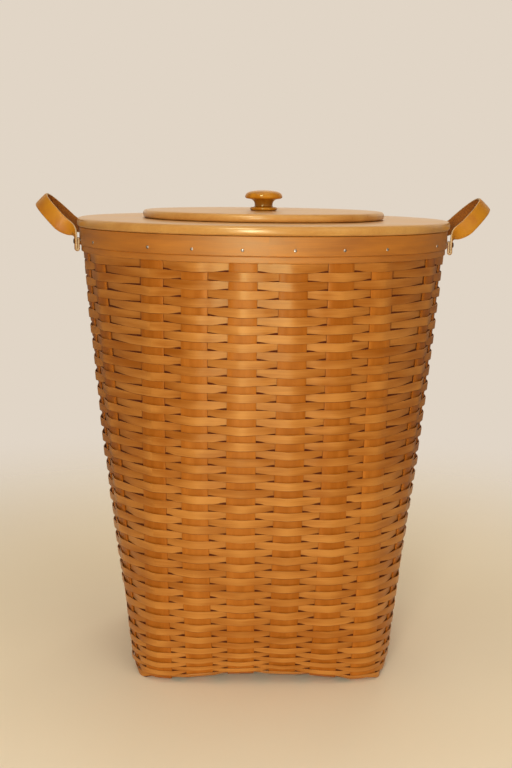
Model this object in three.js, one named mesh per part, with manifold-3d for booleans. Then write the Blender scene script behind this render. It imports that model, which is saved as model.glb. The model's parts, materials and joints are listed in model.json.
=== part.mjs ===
// Laundry hamper: a splint basket, square at the base and round at the rim, with a ring lid, a lift-out
// centre lid with a turned knob, and a leather ear handle on each side.
// Millimetres, +Z up, the front faces -Y, the origin is under the middle of the base.
import * as THREE from "three";
import { mergeVertices } from "three/addons/utils/BufferGeometryUtils.js";
import Module from "manifold-3d";

const wasm = await Module();
wasm.setup();

// Clearance between two pieces that touch
const GAP = 0.3;

// Wall, measured to the outer face of the uprights
const UPRIGHT_BASE_HALF = 162.8;
const UPRIGHT_TOP_RADIUS = 234;
const WALL_BULGE = 6.5;
const WALL_HEIGHT = 535.2;
const BASE_CORNER_REACH = 46.2;
const BEND_RADIUS = 16;
const WEAVER_THICKNESS = 2;
const WEAVER_BEND_DEG = 50;
const ARCH_RISE = 9.5;
const ARCH_FADE_HEIGHT = 80;

// Weaver rows, in bands of a few rows each: they get thinner down the wall and are pressed together above
// the base, by shares of the top row's height
const WEAVER_BANDS = 7;
const ROWS_PER_BAND = 8;
const TOP_BAND_EXTRA_ROWS = 2;
const ROW_THINNING = 0.117;
const ROW_SQUEEZE = 0.41;
const ROW_SQUEEZE_POWER = 12;

// Splints: each is one strip, up a wall, across the base and up the wall opposite
const SPLINT_WIDTH = 33;
const SPLINT_THICKNESS = 1.6;
const FRONT_SPLINTS = 6;
const SIDE_SPLINTS = 5;
const SPLINT_TOP_PITCH_DEG = 14.2;
const FRONT_CORNER_MARGIN = 19.4;
const SIDE_CORNER_MARGIN = 33.4;
const SPLINT_SETBACK = 1.7;

// Rim
const TRIM_HEIGHT = 7.7;
const TRIM_THICKNESS = 3.5;
const RIM_HEIGHT = 22.7;
const OUTER_RIM_THICKNESS = 5.9;
const INNER_RIM_THICKNESS = 6;
const RIM_EDGE = 1.5;

// Tacks, one through the rim into each upright end
const TACK_HEIGHT_IN_RIM = 7;
const TACK_HEAD_RADIUS = 1.9;
const TACK_HEAD_HEIGHT = 0.9;
const TACK_SHANK_RADIUS = 0.7;

// Ring lid and centre lid
const LID_OVERHANG = 3;
const RING_LID_THICKNESS = 11.5;
const RING_LID_EDGE = 4.5;
const LOCATING_RING_HEIGHT = 10;
const LOCATING_RING_WIDTH = 12;
const LOCATING_PLAY = 2;
const CENTRE_LID_RADIUS = 158;
const CENTRE_LID_THICKNESS = 10;
const CENTRE_LID_EDGE = 4;
const CENTRE_LID_LAP = 18;
const LOCATING_DISC_HEIGHT = 8;

// Knob and its screw
const KNOB_HEIGHT = 26.2;
const KNOB_CAP_RADIUS = 24.5;
const KNOB_CAP_HEIGHT = 12.7;
const KNOB_LIP_RADIUS = 19.6;
const KNOB_LIP_HEIGHT = 1.4;
const KNOB_BELLY_HEIGHT = 4.6;
const KNOB_CROWN_RADIUS = 22;
const KNOB_NECK_RADIUS = 11.5;
const KNOB_FOOT_RADIUS = 18;
const KNOB_FOOT_HEIGHT = 3.6;
const KNOB_SCREW_RADIUS = 2;
const KNOB_SCREW_GRIP = 14;
const KNOB_SCREW_HEAD_RADIUS = 4;
const KNOB_SCREW_HEAD_HEIGHT = 2.4;

// Leather handles
const STRAP_WIDTH = 20;
const STRAP_INNER_WIDTH = 7;
const STRAP_THICKNESS = 3.2;
const STRAP_REACH = 66;
const STRAP_ROUNDNESS = 2.3;
const STRAP_NECK_LENGTH = 6;
const STRAP_FLARE_LENGTH = 12;
const STRAP_TILT_DEG = 45;
const KNUCKLE_RADIUS = 2.2;
const KNUCKLE_INSET = 1;
const HINGE_HEIGHT_IN_RIM = 12;
const HINGE_OUT_OF_RIM = 5.4;
const TAB_WIDTH = 16.6;
const TAB_THICKNESS = 6.4;
const TAB_CORNER = 3;
const TAB_DROP = 8;
const TAB_TACK_GAP = 3.5;
const HANDLE_SCREW_RADIUS = 1.6;
const HANDLE_SCREW_GRIP = 4.6;
const HANDLE_SCREW_HEIGHT_IN_RIM = 4.75;
const HANDLE_SCREW_HEAD_RADIUS = 3.4;
const HANDLE_SCREW_HEAD_HEIGHT = 1.6;

// A pin's domed head is this share of its full radius and height at the shoulder
const HEAD_SHOULDER = 0.75;

// Counts of steps round the turned, bent and looped shapes
const RING_STEPS = 64;
const KNOB_STEPS = 30;
const KNOB_CURVE_STEPS = 4;
const SMALL_STEPS = 12;
const TACK_STEPS = 6;
const STRAP_STEPS = 48;
const EDGE_STEPS = 1;
const GAP_LINES = 1;
const CORNER_LINES = 3;
const MERGE_TOLERANCE = 1e-4;

// Finishes
const SPLINT_WOOD = { color: 0x9c5a22, roughness: 0.45, metalness: 0 };
const WEAVER_WOOD = { color: 0xb9712c, roughness: 0.42, metalness: 0 };
const BAND_WOOD = { color: 0xbd752e, roughness: 0.34, metalness: 0 };
const LID_WOOD = { color: 0xb87238, roughness: 0.22, metalness: 0 };
const PLAIN_WOOD = { color: 0xc98a4e, roughness: 0.5, metalness: 0 };
const TAN_LEATHER = { color: 0xb67a1d, roughness: 0.5, metalness: 0 };
const RAW_LEATHER = { color: 0xbfa173, roughness: 0.7, metalness: 0 };
const BRIGHT_STEEL = { color: 0xb9b5ad, roughness: 0.35, metalness: 1 };
const DARK_STEEL = { color: 0x2c2521, roughness: 0.4, metalness: 1 };

// Heights and radii that follow from the sizes above
const trimBottom = WALL_HEIGHT + GAP;
const trimTop = trimBottom + TRIM_HEIGHT;
const rimBottom = trimTop + GAP;
const rimTop = rimBottom + RIM_HEIGHT;
const splintTop = rimTop - SPLINT_SETBACK;
const splintHalfAngle = SPLINT_WIDTH / 2 / UPRIGHT_TOP_RADIUS;
const splintInside = (UPRIGHT_TOP_RADIUS - SPLINT_THICKNESS) * Math.cos(splintHalfAngle);
const rimInside = (UPRIGHT_TOP_RADIUS + GAP) / Math.cos(Math.PI / RING_STEPS);
const rimRadius = rimInside + OUTER_RIM_THICKNESS;
const innerRimOutside = splintInside - GAP;
const innerRimInside = innerRimOutside - INNER_RIM_THICKNESS;
const tackZ = rimBottom + TACK_HEIGHT_IN_RIM;
const ringLidBottom = rimTop + GAP;
const ringLidTop = ringLidBottom + RING_LID_THICKNESS;
const ringLidRadius = rimRadius + LID_OVERHANG;
const lidHoleRadius = CENTRE_LID_RADIUS - CENTRE_LID_LAP;
const centreLidBottom = ringLidTop + GAP;
const centreLidTop = centreLidBottom + CENTRE_LID_THICKNESS;
const discTop = centreLidBottom - GAP;
const discBottom = discTop - LOCATING_DISC_HEIGHT;
const knobBottom = centreLidTop + GAP;
const knobScrewHole = KNOB_SCREW_RADIUS + GAP;
const hingeZ = rimBottom + HINGE_HEIGHT_IN_RIM;
const tabTop = hingeZ - KNUCKLE_RADIUS - GAP;
const tabCentreRadius = rimRadius + GAP + TAB_THICKNESS / 2;

const rad = THREE.MathUtils.degToRad;
const lerp = THREE.MathUtils.lerp;
const hamper = new THREE.Group();

// Adds one named piece with a finish of its own to a group.
function addPiece(group, name, geometry, finish) {
  const mesh = new THREE.Mesh(geometry, new THREE.MeshStandardMaterial(finish));
  mesh.name = name;
  group.add(mesh);
  return mesh;
}

// Turns a closed surface so that its faces point out.
function faceOut(geometry) {
  const position = geometry.attributes.position;
  const index = geometry.index.array;
  const corners = [new THREE.Vector3(), new THREE.Vector3(), new THREE.Vector3()];
  let volume = 0;
  for (let i = 0; i < index.length; i += 3) {
    corners.forEach((corner, k) => corner.fromBufferAttribute(position, index[i + k]));
    volume += corners[0].dot(corners[1].cross(corners[2]));
  }
  if (volume < 0) index.reverse();
  return geometry;
}

// Two triangles over four corners, split along the shorter diagonal, so that faces side by side match.
function splitQuad(points, a, b, c, d) {
  const straight = points[a].distanceTo(points[c]) <= points[b].distanceTo(points[d]);
  return straight ? [a, b, c, a, c, d] : [a, b, d, b, c, d];
}

// A solid through a row of like polygons, closed into a loop or capped at both ends.
function loft(sections, looped) {
  const points = sections.flat();
  const size = sections[0].length;
  const index = [];
  const spans = looped ? sections.length : sections.length - 1;
  for (let i = 0; i < spans; i += 1) {
    const here = i * size;
    const next = ((i + 1) % sections.length) * size;
    for (let j = 0; j < size; j += 1) {
      const k = (j + 1) % size;
      index.push(...splitQuad(points, here + j, here + k, next + k, next + j));
    }
  }
  if (!looped) {
    const last = (sections.length - 1) * size;
    for (let j = 1; j < size - 1; j += 1) {
      index.push(0, j + 1, j);
      index.push(last, last + j, last + j + 1);
    }
  }
  const geometry = new THREE.BufferGeometry().setFromPoints(points);
  geometry.setIndex(index);
  return faceOut(geometry);
}

// A turned solid about Z from a profile of radius and height.
function turn(profile, steps) {
  const geometry = new THREE.LatheGeometry(profile, steps);
  geometry.rotateX(Math.PI / 2);
  return faceOut(geometry);
}

// A flat ring, square in section.
function squareRing(inner, outer, bottom, top) {
  const corners = [
    new THREE.Vector2(inner, bottom),
    new THREE.Vector2(outer, bottom),
    new THREE.Vector2(outer, top),
    new THREE.Vector2(inner, top),
    new THREE.Vector2(inner, bottom),
  ];
  return turn(corners, RING_STEPS);
}

// A flat ring with its outer edges rounded.
function roundedRing(inner, outer, bottom, top, edge) {
  const path = new THREE.Path();
  path.moveTo(inner, bottom);
  path.lineTo(outer - edge, bottom);
  path.absarc(outer - edge, bottom + edge, edge, -Math.PI / 2, 0, false);
  path.absarc(outer - edge, top - edge, edge, 0, Math.PI / 2, false);
  path.lineTo(inner, top);
  path.lineTo(inner, bottom);
  return turn(path.getPoints(EDGE_STEPS), RING_STEPS);
}

// A headed pin along Z: the head's seat is at height 0 and the shank runs down from it.
function headedPin(headRadius, headHeight, shankRadius, shankLength, steps) {
  const profile = [
    new THREE.Vector2(0, -shankLength),
    new THREE.Vector2(shankRadius, -shankLength),
    new THREE.Vector2(shankRadius, 0),
    new THREE.Vector2(headRadius, 0),
    new THREE.Vector2(headRadius * HEAD_SHOULDER, headHeight * HEAD_SHOULDER),
    new THREE.Vector2(0, headHeight),
  ];
  return turn(profile, steps);
}

function toSolid(geometry) {
  const plain = geometry.clone();
  plain.deleteAttribute("normal");
  plain.deleteAttribute("uv");
  const merged = mergeVertices(plain, MERGE_TOLERANCE);
  const vertProperties = merged.attributes.position.array;
  const triVerts = new Uint32Array(merged.index.array);
  return new wasm.Manifold(new wasm.Mesh({ numProp: 3, vertProperties, triVerts }));
}

function toGeometry(solid) {
  const mesh = solid.getMesh();
  const geometry = new THREE.BufferGeometry();
  geometry.setAttribute("position", new THREE.BufferAttribute(mesh.vertProperties, 3));
  geometry.setIndex(new THREE.BufferAttribute(mesh.triVerts, 1));
  return geometry;
}

// The geometry with every cutter taken out of it.
function cut(geometry, cutters) {
  return toGeometry(cutters.reduce((solid, cutter) => solid.subtract(toSolid(cutter)), toSolid(geometry)));
}

// A frame on the rim: X along the rim, Y up and Z straight out. The angle runs from the front to +X.
function rimFrame(angle, radius, z) {
  const out = new THREE.Vector3(Math.sin(angle), -Math.cos(angle), 0);
  const up = new THREE.Vector3(0, 0, 1);
  const along = new THREE.Vector3().crossVectors(up, out);
  const frame = new THREE.Matrix4().makeBasis(along, up, out);
  return frame.setPosition(out.x * radius, out.y * radius, z);
}

// A round cutter along the rim frame's Z, between two radii from the hamper's axis.
function radialCutter(angle, z, from, to, radius, steps) {
  const cutter = new THREE.CylinderGeometry(radius, radius, to - from, steps);
  cutter.rotateX(Math.PI / 2);
  return cutter.applyMatrix4(rimFrame(angle, (from + to) / 2, z));
}

// Half width of the wall across its flats.
function halfWidth(z) {
  const t = Math.min(1, z / WALL_HEIGHT);
  return lerp(UPRIGHT_BASE_HALF, UPRIGHT_TOP_RADIUS, t) + 4 * WALL_BULGE * t * (1 - t);
}

// Exponent of the wall's section: 2 is a circle, and a larger one is nearer to a square. The corners of
// the base run straight up into the round rim.
function squareness(z) {
  const t = Math.min(1, z / WALL_HEIGHT);
  const corner = lerp(UPRIGHT_BASE_HALF + BASE_CORNER_REACH, UPRIGHT_TOP_RADIUS, t);
  return 1 / (0.5 - Math.log2(corner / halfWidth(z)));
}

// A point of the wall's section in plan.
function wallPlan(angle, z, offset) {
  const n = squareness(z);
  const across = Math.abs(Math.sin(angle)) ** n + Math.abs(Math.cos(angle)) ** n;
  const radius = (halfWidth(z) + offset) / across ** (1 / n);
  return new THREE.Vector2(radius * Math.sin(angle), -radius * Math.cos(angle));
}

// The angle at which a face of the base section stands at a given distance from the face's middle.
function baseAngle(local) {
  const half = halfWidth(BEND_RADIUS);
  const n = squareness(BEND_RADIUS);
  const depth = half * (1 - (Math.abs(local) / half) ** n) ** (1 / n);
  return Math.atan2(local, depth);
}

// Places of the splints' middles across a face of the base, and their angles at the rim.
function spread(count, margin) {
  const outermost = halfWidth(BEND_RADIUS) - margin - SPLINT_WIDTH / 2;
  const middle = (count - 1) / 2;
  const places = Array.from({ length: count }, (_, i) => i - middle);
  return places.map((step) => ({
    local: (outermost * step) / middle,
    rimAngle: rad(SPLINT_TOP_PITCH_DEG) * step,
  }));
}

const frontSpread = spread(FRONT_SPLINTS, FRONT_CORNER_MARGIN);
const sideSpread = spread(SIDE_SPLINTS, SIDE_CORNER_MARGIN);
const archHalf = frontSpread[FRONT_SPLINTS - 1].local - SPLINT_WIDTH / 2;

// The base is arched from left to right and stands on its two outermost front-to-back splints.
function archLift(x, z) {
  const fade = Math.max(0, 1 - z / ARCH_FADE_HEIGHT) ** 2;
  return ARCH_RISE * Math.max(0, 1 - (x / archHalf) ** 2) * fade;
}

// One upright line on a face: its angle at the base, its angle at the rim and the way the face looks.
function line(face, local, rimAngle) {
  return { base: face + baseAngle(local), rim: face + rimAngle, out: face };
}

// The three lines of a splint on a face: one edge, the middle and the other edge.
function splintLines(face, place, sign) {
  return [-1, 0, 1].map((edge) => {
    const local = place.local + (edge * SPLINT_WIDTH) / 2;
    const rimAngle = place.rimAngle + edge * splintHalfAngle;
    return line(face, sign * local, sign * rimAngle);
  });
}

// A point on a line at a height of the wall, set in or out by an offset.
function onWall(upright, z, offset) {
  const t = Math.min(1, (z - BEND_RADIUS) / (WALL_HEIGHT - BEND_RADIUS));
  const plan = wallPlan(lerp(upright.base, upright.rim, t), z, offset);
  return new THREE.Vector3(plan.x, plan.y, z + archLift(plan.x, z));
}

// A point on a line in the bend between wall and base. Lift raises what lies over another splint.
function onBend(upright, bend, offset, lift) {
  const plan = wallPlan(upright.base, BEND_RADIUS, 0);
  const reach = (BEND_RADIUS + offset) * Math.cos(bend) - BEND_RADIUS;
  const x = plan.x + Math.sin(upright.out) * reach;
  const y = plan.y - Math.cos(upright.out) * reach;
  const z = BEND_RADIUS - (BEND_RADIUS + offset - lift) * Math.sin(bend);
  return new THREE.Vector3(x, y, z + archLift(x, z));
}

// Height of the lower edge of a weaver row, counted from the top. The last row lies in the bend.
function rowHeight(row) {
  const power = ROW_SQUEEZE_POWER + 1;
  const fall = (t) => t - (ROW_THINNING * t ** 2) / 2 - (ROW_SQUEEZE * t ** power) / power;
  const wallRows = WEAVER_BANDS * ROWS_PER_BAND - 1;
  return lerp(WALL_HEIGHT, BEND_RADIUS, fall(row / wallRows) / fall(1));
}

// The top band has a few rows more than the others.
const firstRow = (band) => (band === 0 ? 0 : band * ROWS_PER_BAND + TOP_BAND_EXTRA_ROWS);
const bandTops = Array.from({ length: WEAVER_BANDS }, (_, i) => rowHeight(firstRow(i)));
const bendAngles = [WEAVER_BEND_DEG / 2, WEAVER_BEND_DEG].map(rad);
const splintBends = [...bendAngles, rad((90 + WEAVER_BEND_DEG) / 2), Math.PI / 2];

// The cross-sections of a splint down one wall and round the bend: crowned outside, flat inside.
function splintSide([edge, middle, otherEdge], lift) {
  const section = (point) => [
    point(edge, 0),
    point(middle, 0),
    point(otherEdge, 0),
    point(otherEdge, -SPLINT_THICKNESS),
    point(edge, -SPLINT_THICKNESS),
  ];
  const heights = [splintTop, ...bandTops, BEND_RADIUS];
  const wall = heights.map((z) => section((upright, offset) => onWall(upright, z, offset)));
  const bend = splintBends.map((angle) => section((upright, offset) => onBend(upright, angle, offset, lift)));
  return [...wall, ...bend];
}

// A splint that crosses the base over the arch gets a cross-section at each edge of the splints below it.
function archSections(place, lift) {
  const edges = frontSpread.flatMap((p) => [p.local - SPLINT_WIDTH / 2, p.local + SPLINT_WIDTH / 2]);
  const inside = edges.filter((x) => Math.abs(x) <= archHalf + GAP);
  const low = place.local - SPLINT_WIDTH / 2;
  const high = place.local + SPLINT_WIDTH / 2;
  const point = (x, y, z) => new THREE.Vector3(x, y, z + archLift(x, 0));
  return inside.toReversed().map((x) => [
    point(x, low, lift),
    point(x, place.local, lift),
    point(x, high, lift),
    point(x, high, lift + SPLINT_THICKNESS),
    point(x, low, lift + SPLINT_THICKNESS),
  ]);
}

// One splint through both walls that it climbs, with the holes for its two tacks.
function splint(face, place, lift, middle) {
  const near = splintSide(splintLines(face, place, 1), lift);
  const far = splintSide(splintLines(face + Math.PI, place, -1), lift).toReversed();
  const holes = [face + place.rimAngle, face + Math.PI - place.rimAngle].map((angle) => tackCutter(angle));
  return cut(loft([...near, ...middle, ...far], false), holes);
}

function tackCutter(angle) {
  const radius = TACK_SHANK_RADIUS + GAP;
  const reach = SPLINT_THICKNESS + GAP;
  return radialCutter(angle, tackZ, UPRIGHT_TOP_RADIUS - 2 * reach, rimRadius + reach, radius, TACK_STEPS);
}

function addSplints() {
  frontSpread.forEach((place, i) => {
    const geometry = splint(0, place, 0, []);
    addPiece(hamper, `front_back_splint_${i + 1}`, geometry, SPLINT_WOOD);
  });
  const lift = SPLINT_THICKNESS + GAP;
  sideSpread.forEach((place, i) => {
    const geometry = splint(Math.PI / 2, place, lift, archSections(place, lift));
    addPiece(hamper, `side_splint_${i + 1}`, geometry, SPLINT_WOOD);
  });
}

// Lines between two neighbours on the wall.
function between(from, to, count) {
  return Array.from({ length: count }, (_, i) => {
    const t = (i + 1) / (count + 1);
    return {
      base: lerp(from.base, to.base, t),
      rim: lerp(from.rim, to.rim, t),
      out: lerp(from.out, to.out, t),
    };
  });
}

// Every line round the wall: three on each upright, one in each gap and three round each corner.
function wallLines() {
  const faces = [frontSpread, sideSpread, frontSpread, sideSpread];
  const uprights = faces.flatMap((places, i) => places.map((p) => splintLines((i * Math.PI) / 2, p, 1)));
  return uprights.flatMap((lines, i) => {
    const wraps = i === uprights.length - 1;
    const turnRound = wraps ? 2 * Math.PI : 0;
    const first = uprights[(i + 1) % uprights.length][0];
    const next = { base: first.base + turnRound, rim: first.rim + turnRound, out: first.out + turnRound };
    const corner = next.out !== lines[2].out;
    return [...lines, ...between(lines[2], next, corner ? CORNER_LINES : GAP_LINES)];
  });
}

// One closed band of weaver rows round the uprights. The lowest one goes down into the bend of the base.
function weaverBand(lines, top, bottom, bends) {
  const faceLine = (upright, offset) => [
    onWall(upright, top, offset),
    onWall(upright, bottom, offset),
    ...bends.map((bend) => onBend(upright, bend, offset, 0)),
  ];
  const sections = lines.map((upright) => [
    ...faceLine(upright, GAP + WEAVER_THICKNESS),
    ...faceLine(upright, GAP).toReversed(),
  ]);
  return loft(sections, true);
}

function addWeavers() {
  const lines = wallLines();
  bandTops.forEach((height, i) => {
    const top = i === 0 ? height : height - GAP / 2;
    const lowest = i === WEAVER_BANDS - 1;
    const bottom = lowest ? BEND_RADIUS : bandTops[i + 1] + GAP / 2;
    const geometry = weaverBand(lines, top, bottom, lowest ? bendAngles : []);
    addPiece(hamper, `weaver_band_${i + 1}`, geometry, WEAVER_WOOD);
  });
}

// Where the tacks stand: one at the middle of each upright, all round the rim.
function tackAngles() {
  const faces = [frontSpread, sideSpread, frontSpread, sideSpread];
  return faces.flatMap((places, i) => places.map((p) => (i * Math.PI) / 2 + p.rimAngle));
}

// The tabs of a handle stand beside the tacks next to the middle of the side.
const tabSpan = TAB_WIDTH / 2 + TAB_TACK_GAP + TACK_HEAD_RADIUS;
const tabAngle = rad(SPLINT_TOP_PITCH_DEG) - Math.asin(tabSpan / rimRadius);
const strapHalfSpan = tabCentreRadius * Math.sin(tabAngle);
const hingeX = rimRadius * Math.cos(tabAngle) + HINGE_OUT_OF_RIM;
const tabBottom = rimBottom - TAB_DROP;
const screwZ = rimBottom + HANDLE_SCREW_HEIGHT_IN_RIM;
const handles = [
  { name: "left", side: -1, face: -Math.PI / 2 },
  { name: "right", side: 1, face: Math.PI / 2 },
];

// Both ends of a handle, named by where they stand.
function handleEnds(handle) {
  return [
    { name: "front", angle: handle.face - handle.side * tabAngle },
    { name: "back", angle: handle.face + handle.side * tabAngle },
  ];
}

function addRim() {
  const tackHoles = tackAngles().map((angle) => tackCutter(angle));
  const screwEnd = rimRadius - HANDLE_SCREW_GRIP - GAP;
  const screwHoles = handles.flatMap(handleEnds).map(({ angle }) => {
    const radius = HANDLE_SCREW_RADIUS + GAP;
    return radialCutter(angle, screwZ, screwEnd, rimRadius + TAB_THICKNESS, radius, SMALL_STEPS);
  });
  const outer = roundedRing(rimInside, rimRadius, rimBottom, rimTop, RIM_EDGE);
  addPiece(hamper, "outer_rim_band", cut(outer, [...tackHoles, ...screwHoles]), BAND_WOOD);

  const inner = squareRing(innerRimInside, innerRimOutside, rimBottom, rimTop);
  addPiece(hamper, "inner_rim_band", inner, BAND_WOOD);

  const trim = squareRing(rimInside, rimInside + TRIM_THICKNESS, trimBottom, trimTop);
  addPiece(hamper, "trim_band", trim, BAND_WOOD);
}

function addTacks() {
  const shank = rimRadius + GAP - (UPRIGHT_TOP_RADIUS - SPLINT_THICKNESS);
  tackAngles().forEach((angle, i) => {
    const geometry = headedPin(TACK_HEAD_RADIUS, TACK_HEAD_HEIGHT, TACK_SHANK_RADIUS, shank, TACK_STEPS);
    const name = `rim_tack_${String(i + 1).padStart(2, "0")}`;
    const tack = addPiece(hamper, name, geometry, BRIGHT_STEEL);
    tack.applyMatrix4(rimFrame(angle, rimRadius + GAP, tackZ));
  });
}

function addRingLid() {
  const lid = roundedRing(lidHoleRadius, ringLidRadius, ringLidBottom, ringLidTop, RING_LID_EDGE);
  addPiece(hamper, "ring_lid", lid, LID_WOOD);

  const outside = innerRimInside - LOCATING_PLAY;
  const top = ringLidBottom - GAP;
  const ring = squareRing(outside - LOCATING_RING_WIDTH, outside, top - LOCATING_RING_HEIGHT, top);
  addPiece(hamper, "ring_lid_locating_ring", ring, PLAIN_WOOD);
}

function addCentreLid() {
  const edge = CENTRE_LID_EDGE;
  const lid = roundedRing(knobScrewHole, CENTRE_LID_RADIUS, centreLidBottom, centreLidTop, edge);
  addPiece(hamper, "centre_lid", lid, LID_WOOD);

  const disc = squareRing(knobScrewHole, lidHoleRadius - LOCATING_PLAY, discBottom, discTop);
  addPiece(hamper, "centre_lid_locating_disc", disc, PLAIN_WOOD);
}

// The knob has a spreading foot, a waist and a mushroom cap, with a blind hole for its screw.
function addKnob() {
  const neck = KNOB_NECK_RADIUS;
  const cap = KNOB_CAP_RADIUS;
  const capBottom = KNOB_HEIGHT - KNOB_CAP_HEIGHT;
  const waist = (KNOB_FOOT_HEIGHT + capBottom) / 2;
  const lip = capBottom + KNOB_LIP_HEIGHT;
  const belly = capBottom + KNOB_BELLY_HEIGHT;
  const path = new THREE.Path();
  path.moveTo(0, KNOB_SCREW_GRIP + GAP);
  path.lineTo(knobScrewHole, KNOB_SCREW_GRIP + GAP);
  path.lineTo(knobScrewHole, 0);
  path.lineTo(KNOB_FOOT_RADIUS, 0);
  path.lineTo(KNOB_FOOT_RADIUS, KNOB_FOOT_HEIGHT / 2);
  path.quadraticCurveTo(neck, KNOB_FOOT_HEIGHT, neck, waist);
  path.quadraticCurveTo(neck, capBottom, KNOB_LIP_RADIUS, lip);
  path.quadraticCurveTo(cap, lip, cap, belly);
  path.quadraticCurveTo(KNOB_CROWN_RADIUS, KNOB_HEIGHT, 0, KNOB_HEIGHT);
  const turned = turn(path.getPoints(KNOB_CURVE_STEPS), KNOB_STEPS);
  const knob = addPiece(hamper, "lid_knob", turned, LID_WOOD);
  knob.position.z = knobBottom;

  const seat = discBottom - GAP;
  const shank = knobBottom + KNOB_SCREW_GRIP - seat;
  const headRadius = KNOB_SCREW_HEAD_RADIUS;
  const pin = headedPin(headRadius, KNOB_SCREW_HEAD_HEIGHT, KNOB_SCREW_RADIUS, shank, SMALL_STEPS);
  const screw = addPiece(hamper, "knob_screw", pin, BRIGHT_STEEL);
  screw.rotation.x = Math.PI;
  screw.position.z = seat;
}

// The strap's loop stands in its hinge frame: Y along the hinge, Z away from it, X across the strap.
function strapGeometry(side) {
  const power = 2 / STRAP_ROUNDNESS;
  const flareEnd = STRAP_NECK_LENGTH + STRAP_FLARE_LENGTH;
  const bow = (t) => {
    const across = -Math.sign(Math.cos(t)) * Math.abs(Math.cos(t)) ** power;
    return new THREE.Vector2(strapHalfSpan * across, STRAP_REACH * Math.sin(t) ** power);
  };
  const angles = Array.from({ length: STRAP_STEPS + 1 }, (_, i) => (Math.PI * i) / STRAP_STEPS);
  const points = angles.map(bow);
  const sections = points.map((p, i) => {
    const ends = i === 0 || i === STRAP_STEPS;
    const ahead = points[Math.min(i + 1, STRAP_STEPS)];
    const along = ahead.clone().sub(points[Math.max(i - 1, 0)]).normalize();
    const normal = ends ? new THREE.Vector2(i === 0 ? -1 : 1, 0) : new THREE.Vector2(-along.y, along.x);
    const opening = THREE.MathUtils.smoothstep(p.y, STRAP_NECK_LENGTH, flareEnd);
    const inner = lerp(KNUCKLE_RADIUS, STRAP_INNER_WIDTH, opening);
    const outer = lerp(KNUCKLE_RADIUS, STRAP_WIDTH - STRAP_INNER_WIDTH, opening);
    const corner = (x, half) => new THREE.Vector3(x, p.x + normal.x * half, p.y + normal.y * half);
    const half = STRAP_THICKNESS / 2;
    return [
      corner(-side * inner, half),
      corner(side * outer, half),
      corner(side * outer, -half),
      corner(-side * inner, -half),
    ];
  });
  const knuckles = [-1, 1].map((end) => {
    const length = TAB_WIDTH - 2 * KNUCKLE_INSET;
    const roll = new THREE.CylinderGeometry(KNUCKLE_RADIUS, KNUCKLE_RADIUS, length, SMALL_STEPS);
    return toSolid(roll.translate(0, end * strapHalfSpan, 0));
  });
  return toGeometry(toSolid(loft(sections, false)).add(knuckles[0]).add(knuckles[1]));
}

// A leather end of the strap, doubled flat on the rim and hanging below it, with a hole for its screw.
function tabGeometry() {
  const half = TAB_WIDTH / 2;
  const top = tabTop - screwZ;
  const low = tabBottom + TAB_CORNER - screwZ;
  const shape = new THREE.Shape();
  shape.moveTo(-half, top);
  shape.lineTo(-half, low);
  shape.absarc(TAB_CORNER - half, low, TAB_CORNER, Math.PI, 1.5 * Math.PI, false);
  shape.absarc(half - TAB_CORNER, low, TAB_CORNER, 1.5 * Math.PI, 2 * Math.PI, false);
  shape.lineTo(half, top);
  const hole = new THREE.Path();
  hole.absarc(0, 0, HANDLE_SCREW_RADIUS + GAP, 0, 2 * Math.PI, true);
  shape.holes.push(hole);
  const options = { depth: TAB_THICKNESS, bevelEnabled: false, curveSegments: SMALL_STEPS / 2 };
  return new THREE.ExtrudeGeometry(shape, options).translate(0, 0, -TAB_THICKNESS / 2);
}

function addHandle(handle) {
  const hinge = new THREE.Group();
  hinge.position.set(handle.side * hingeX, 0, hingeZ);
  hinge.rotation.y = handle.side * rad(STRAP_TILT_DEG);
  hamper.add(hinge);
  addPiece(hinge, `${handle.name}_handle_strap`, strapGeometry(handle.side), TAN_LEATHER);

  handleEnds(handle).forEach(({ name, angle }) => {
    const prefix = `${handle.name}_handle_${name}`;
    const tab = addPiece(hamper, `${prefix}_tab`, tabGeometry(), RAW_LEATHER);
    tab.applyMatrix4(rimFrame(angle, tabCentreRadius, screwZ));

    const seat = tabCentreRadius + TAB_THICKNESS / 2 + GAP;
    const shank = seat - rimRadius + HANDLE_SCREW_GRIP;
    const headRadius = HANDLE_SCREW_HEAD_RADIUS;
    const pin = headedPin(headRadius, HANDLE_SCREW_HEAD_HEIGHT, HANDLE_SCREW_RADIUS, shank, SMALL_STEPS);
    const screw = addPiece(hamper, `${prefix}_screw`, pin, DARK_STEEL);
    screw.applyMatrix4(rimFrame(angle, seat, screwZ));
  });
}

addSplints();
addWeavers();
addRim();
addTacks();
addRingLid();
addCentreLid();
addKnob();
handles.forEach(addHandle);

export default hamper;
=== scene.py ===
"""A woven splint laundry hamper with a two-part wooden lid and leather ear handles.

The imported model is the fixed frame. This script adds the weave of the wall and the base, the smooth
bands, lids and knob, the leather, and every finish. Metres, +Z up, and the front faces -Y. Angles round
the hamper run from the front towards +X.
"""

import json
import logging
import math
from dataclasses import dataclass, field
from enum import Enum, StrEnum
from typing import Any, Callable, Iterable, NamedTuple, Sequence

import bpy
import numpy as np
from mathutils import Matrix, Vector


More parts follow.
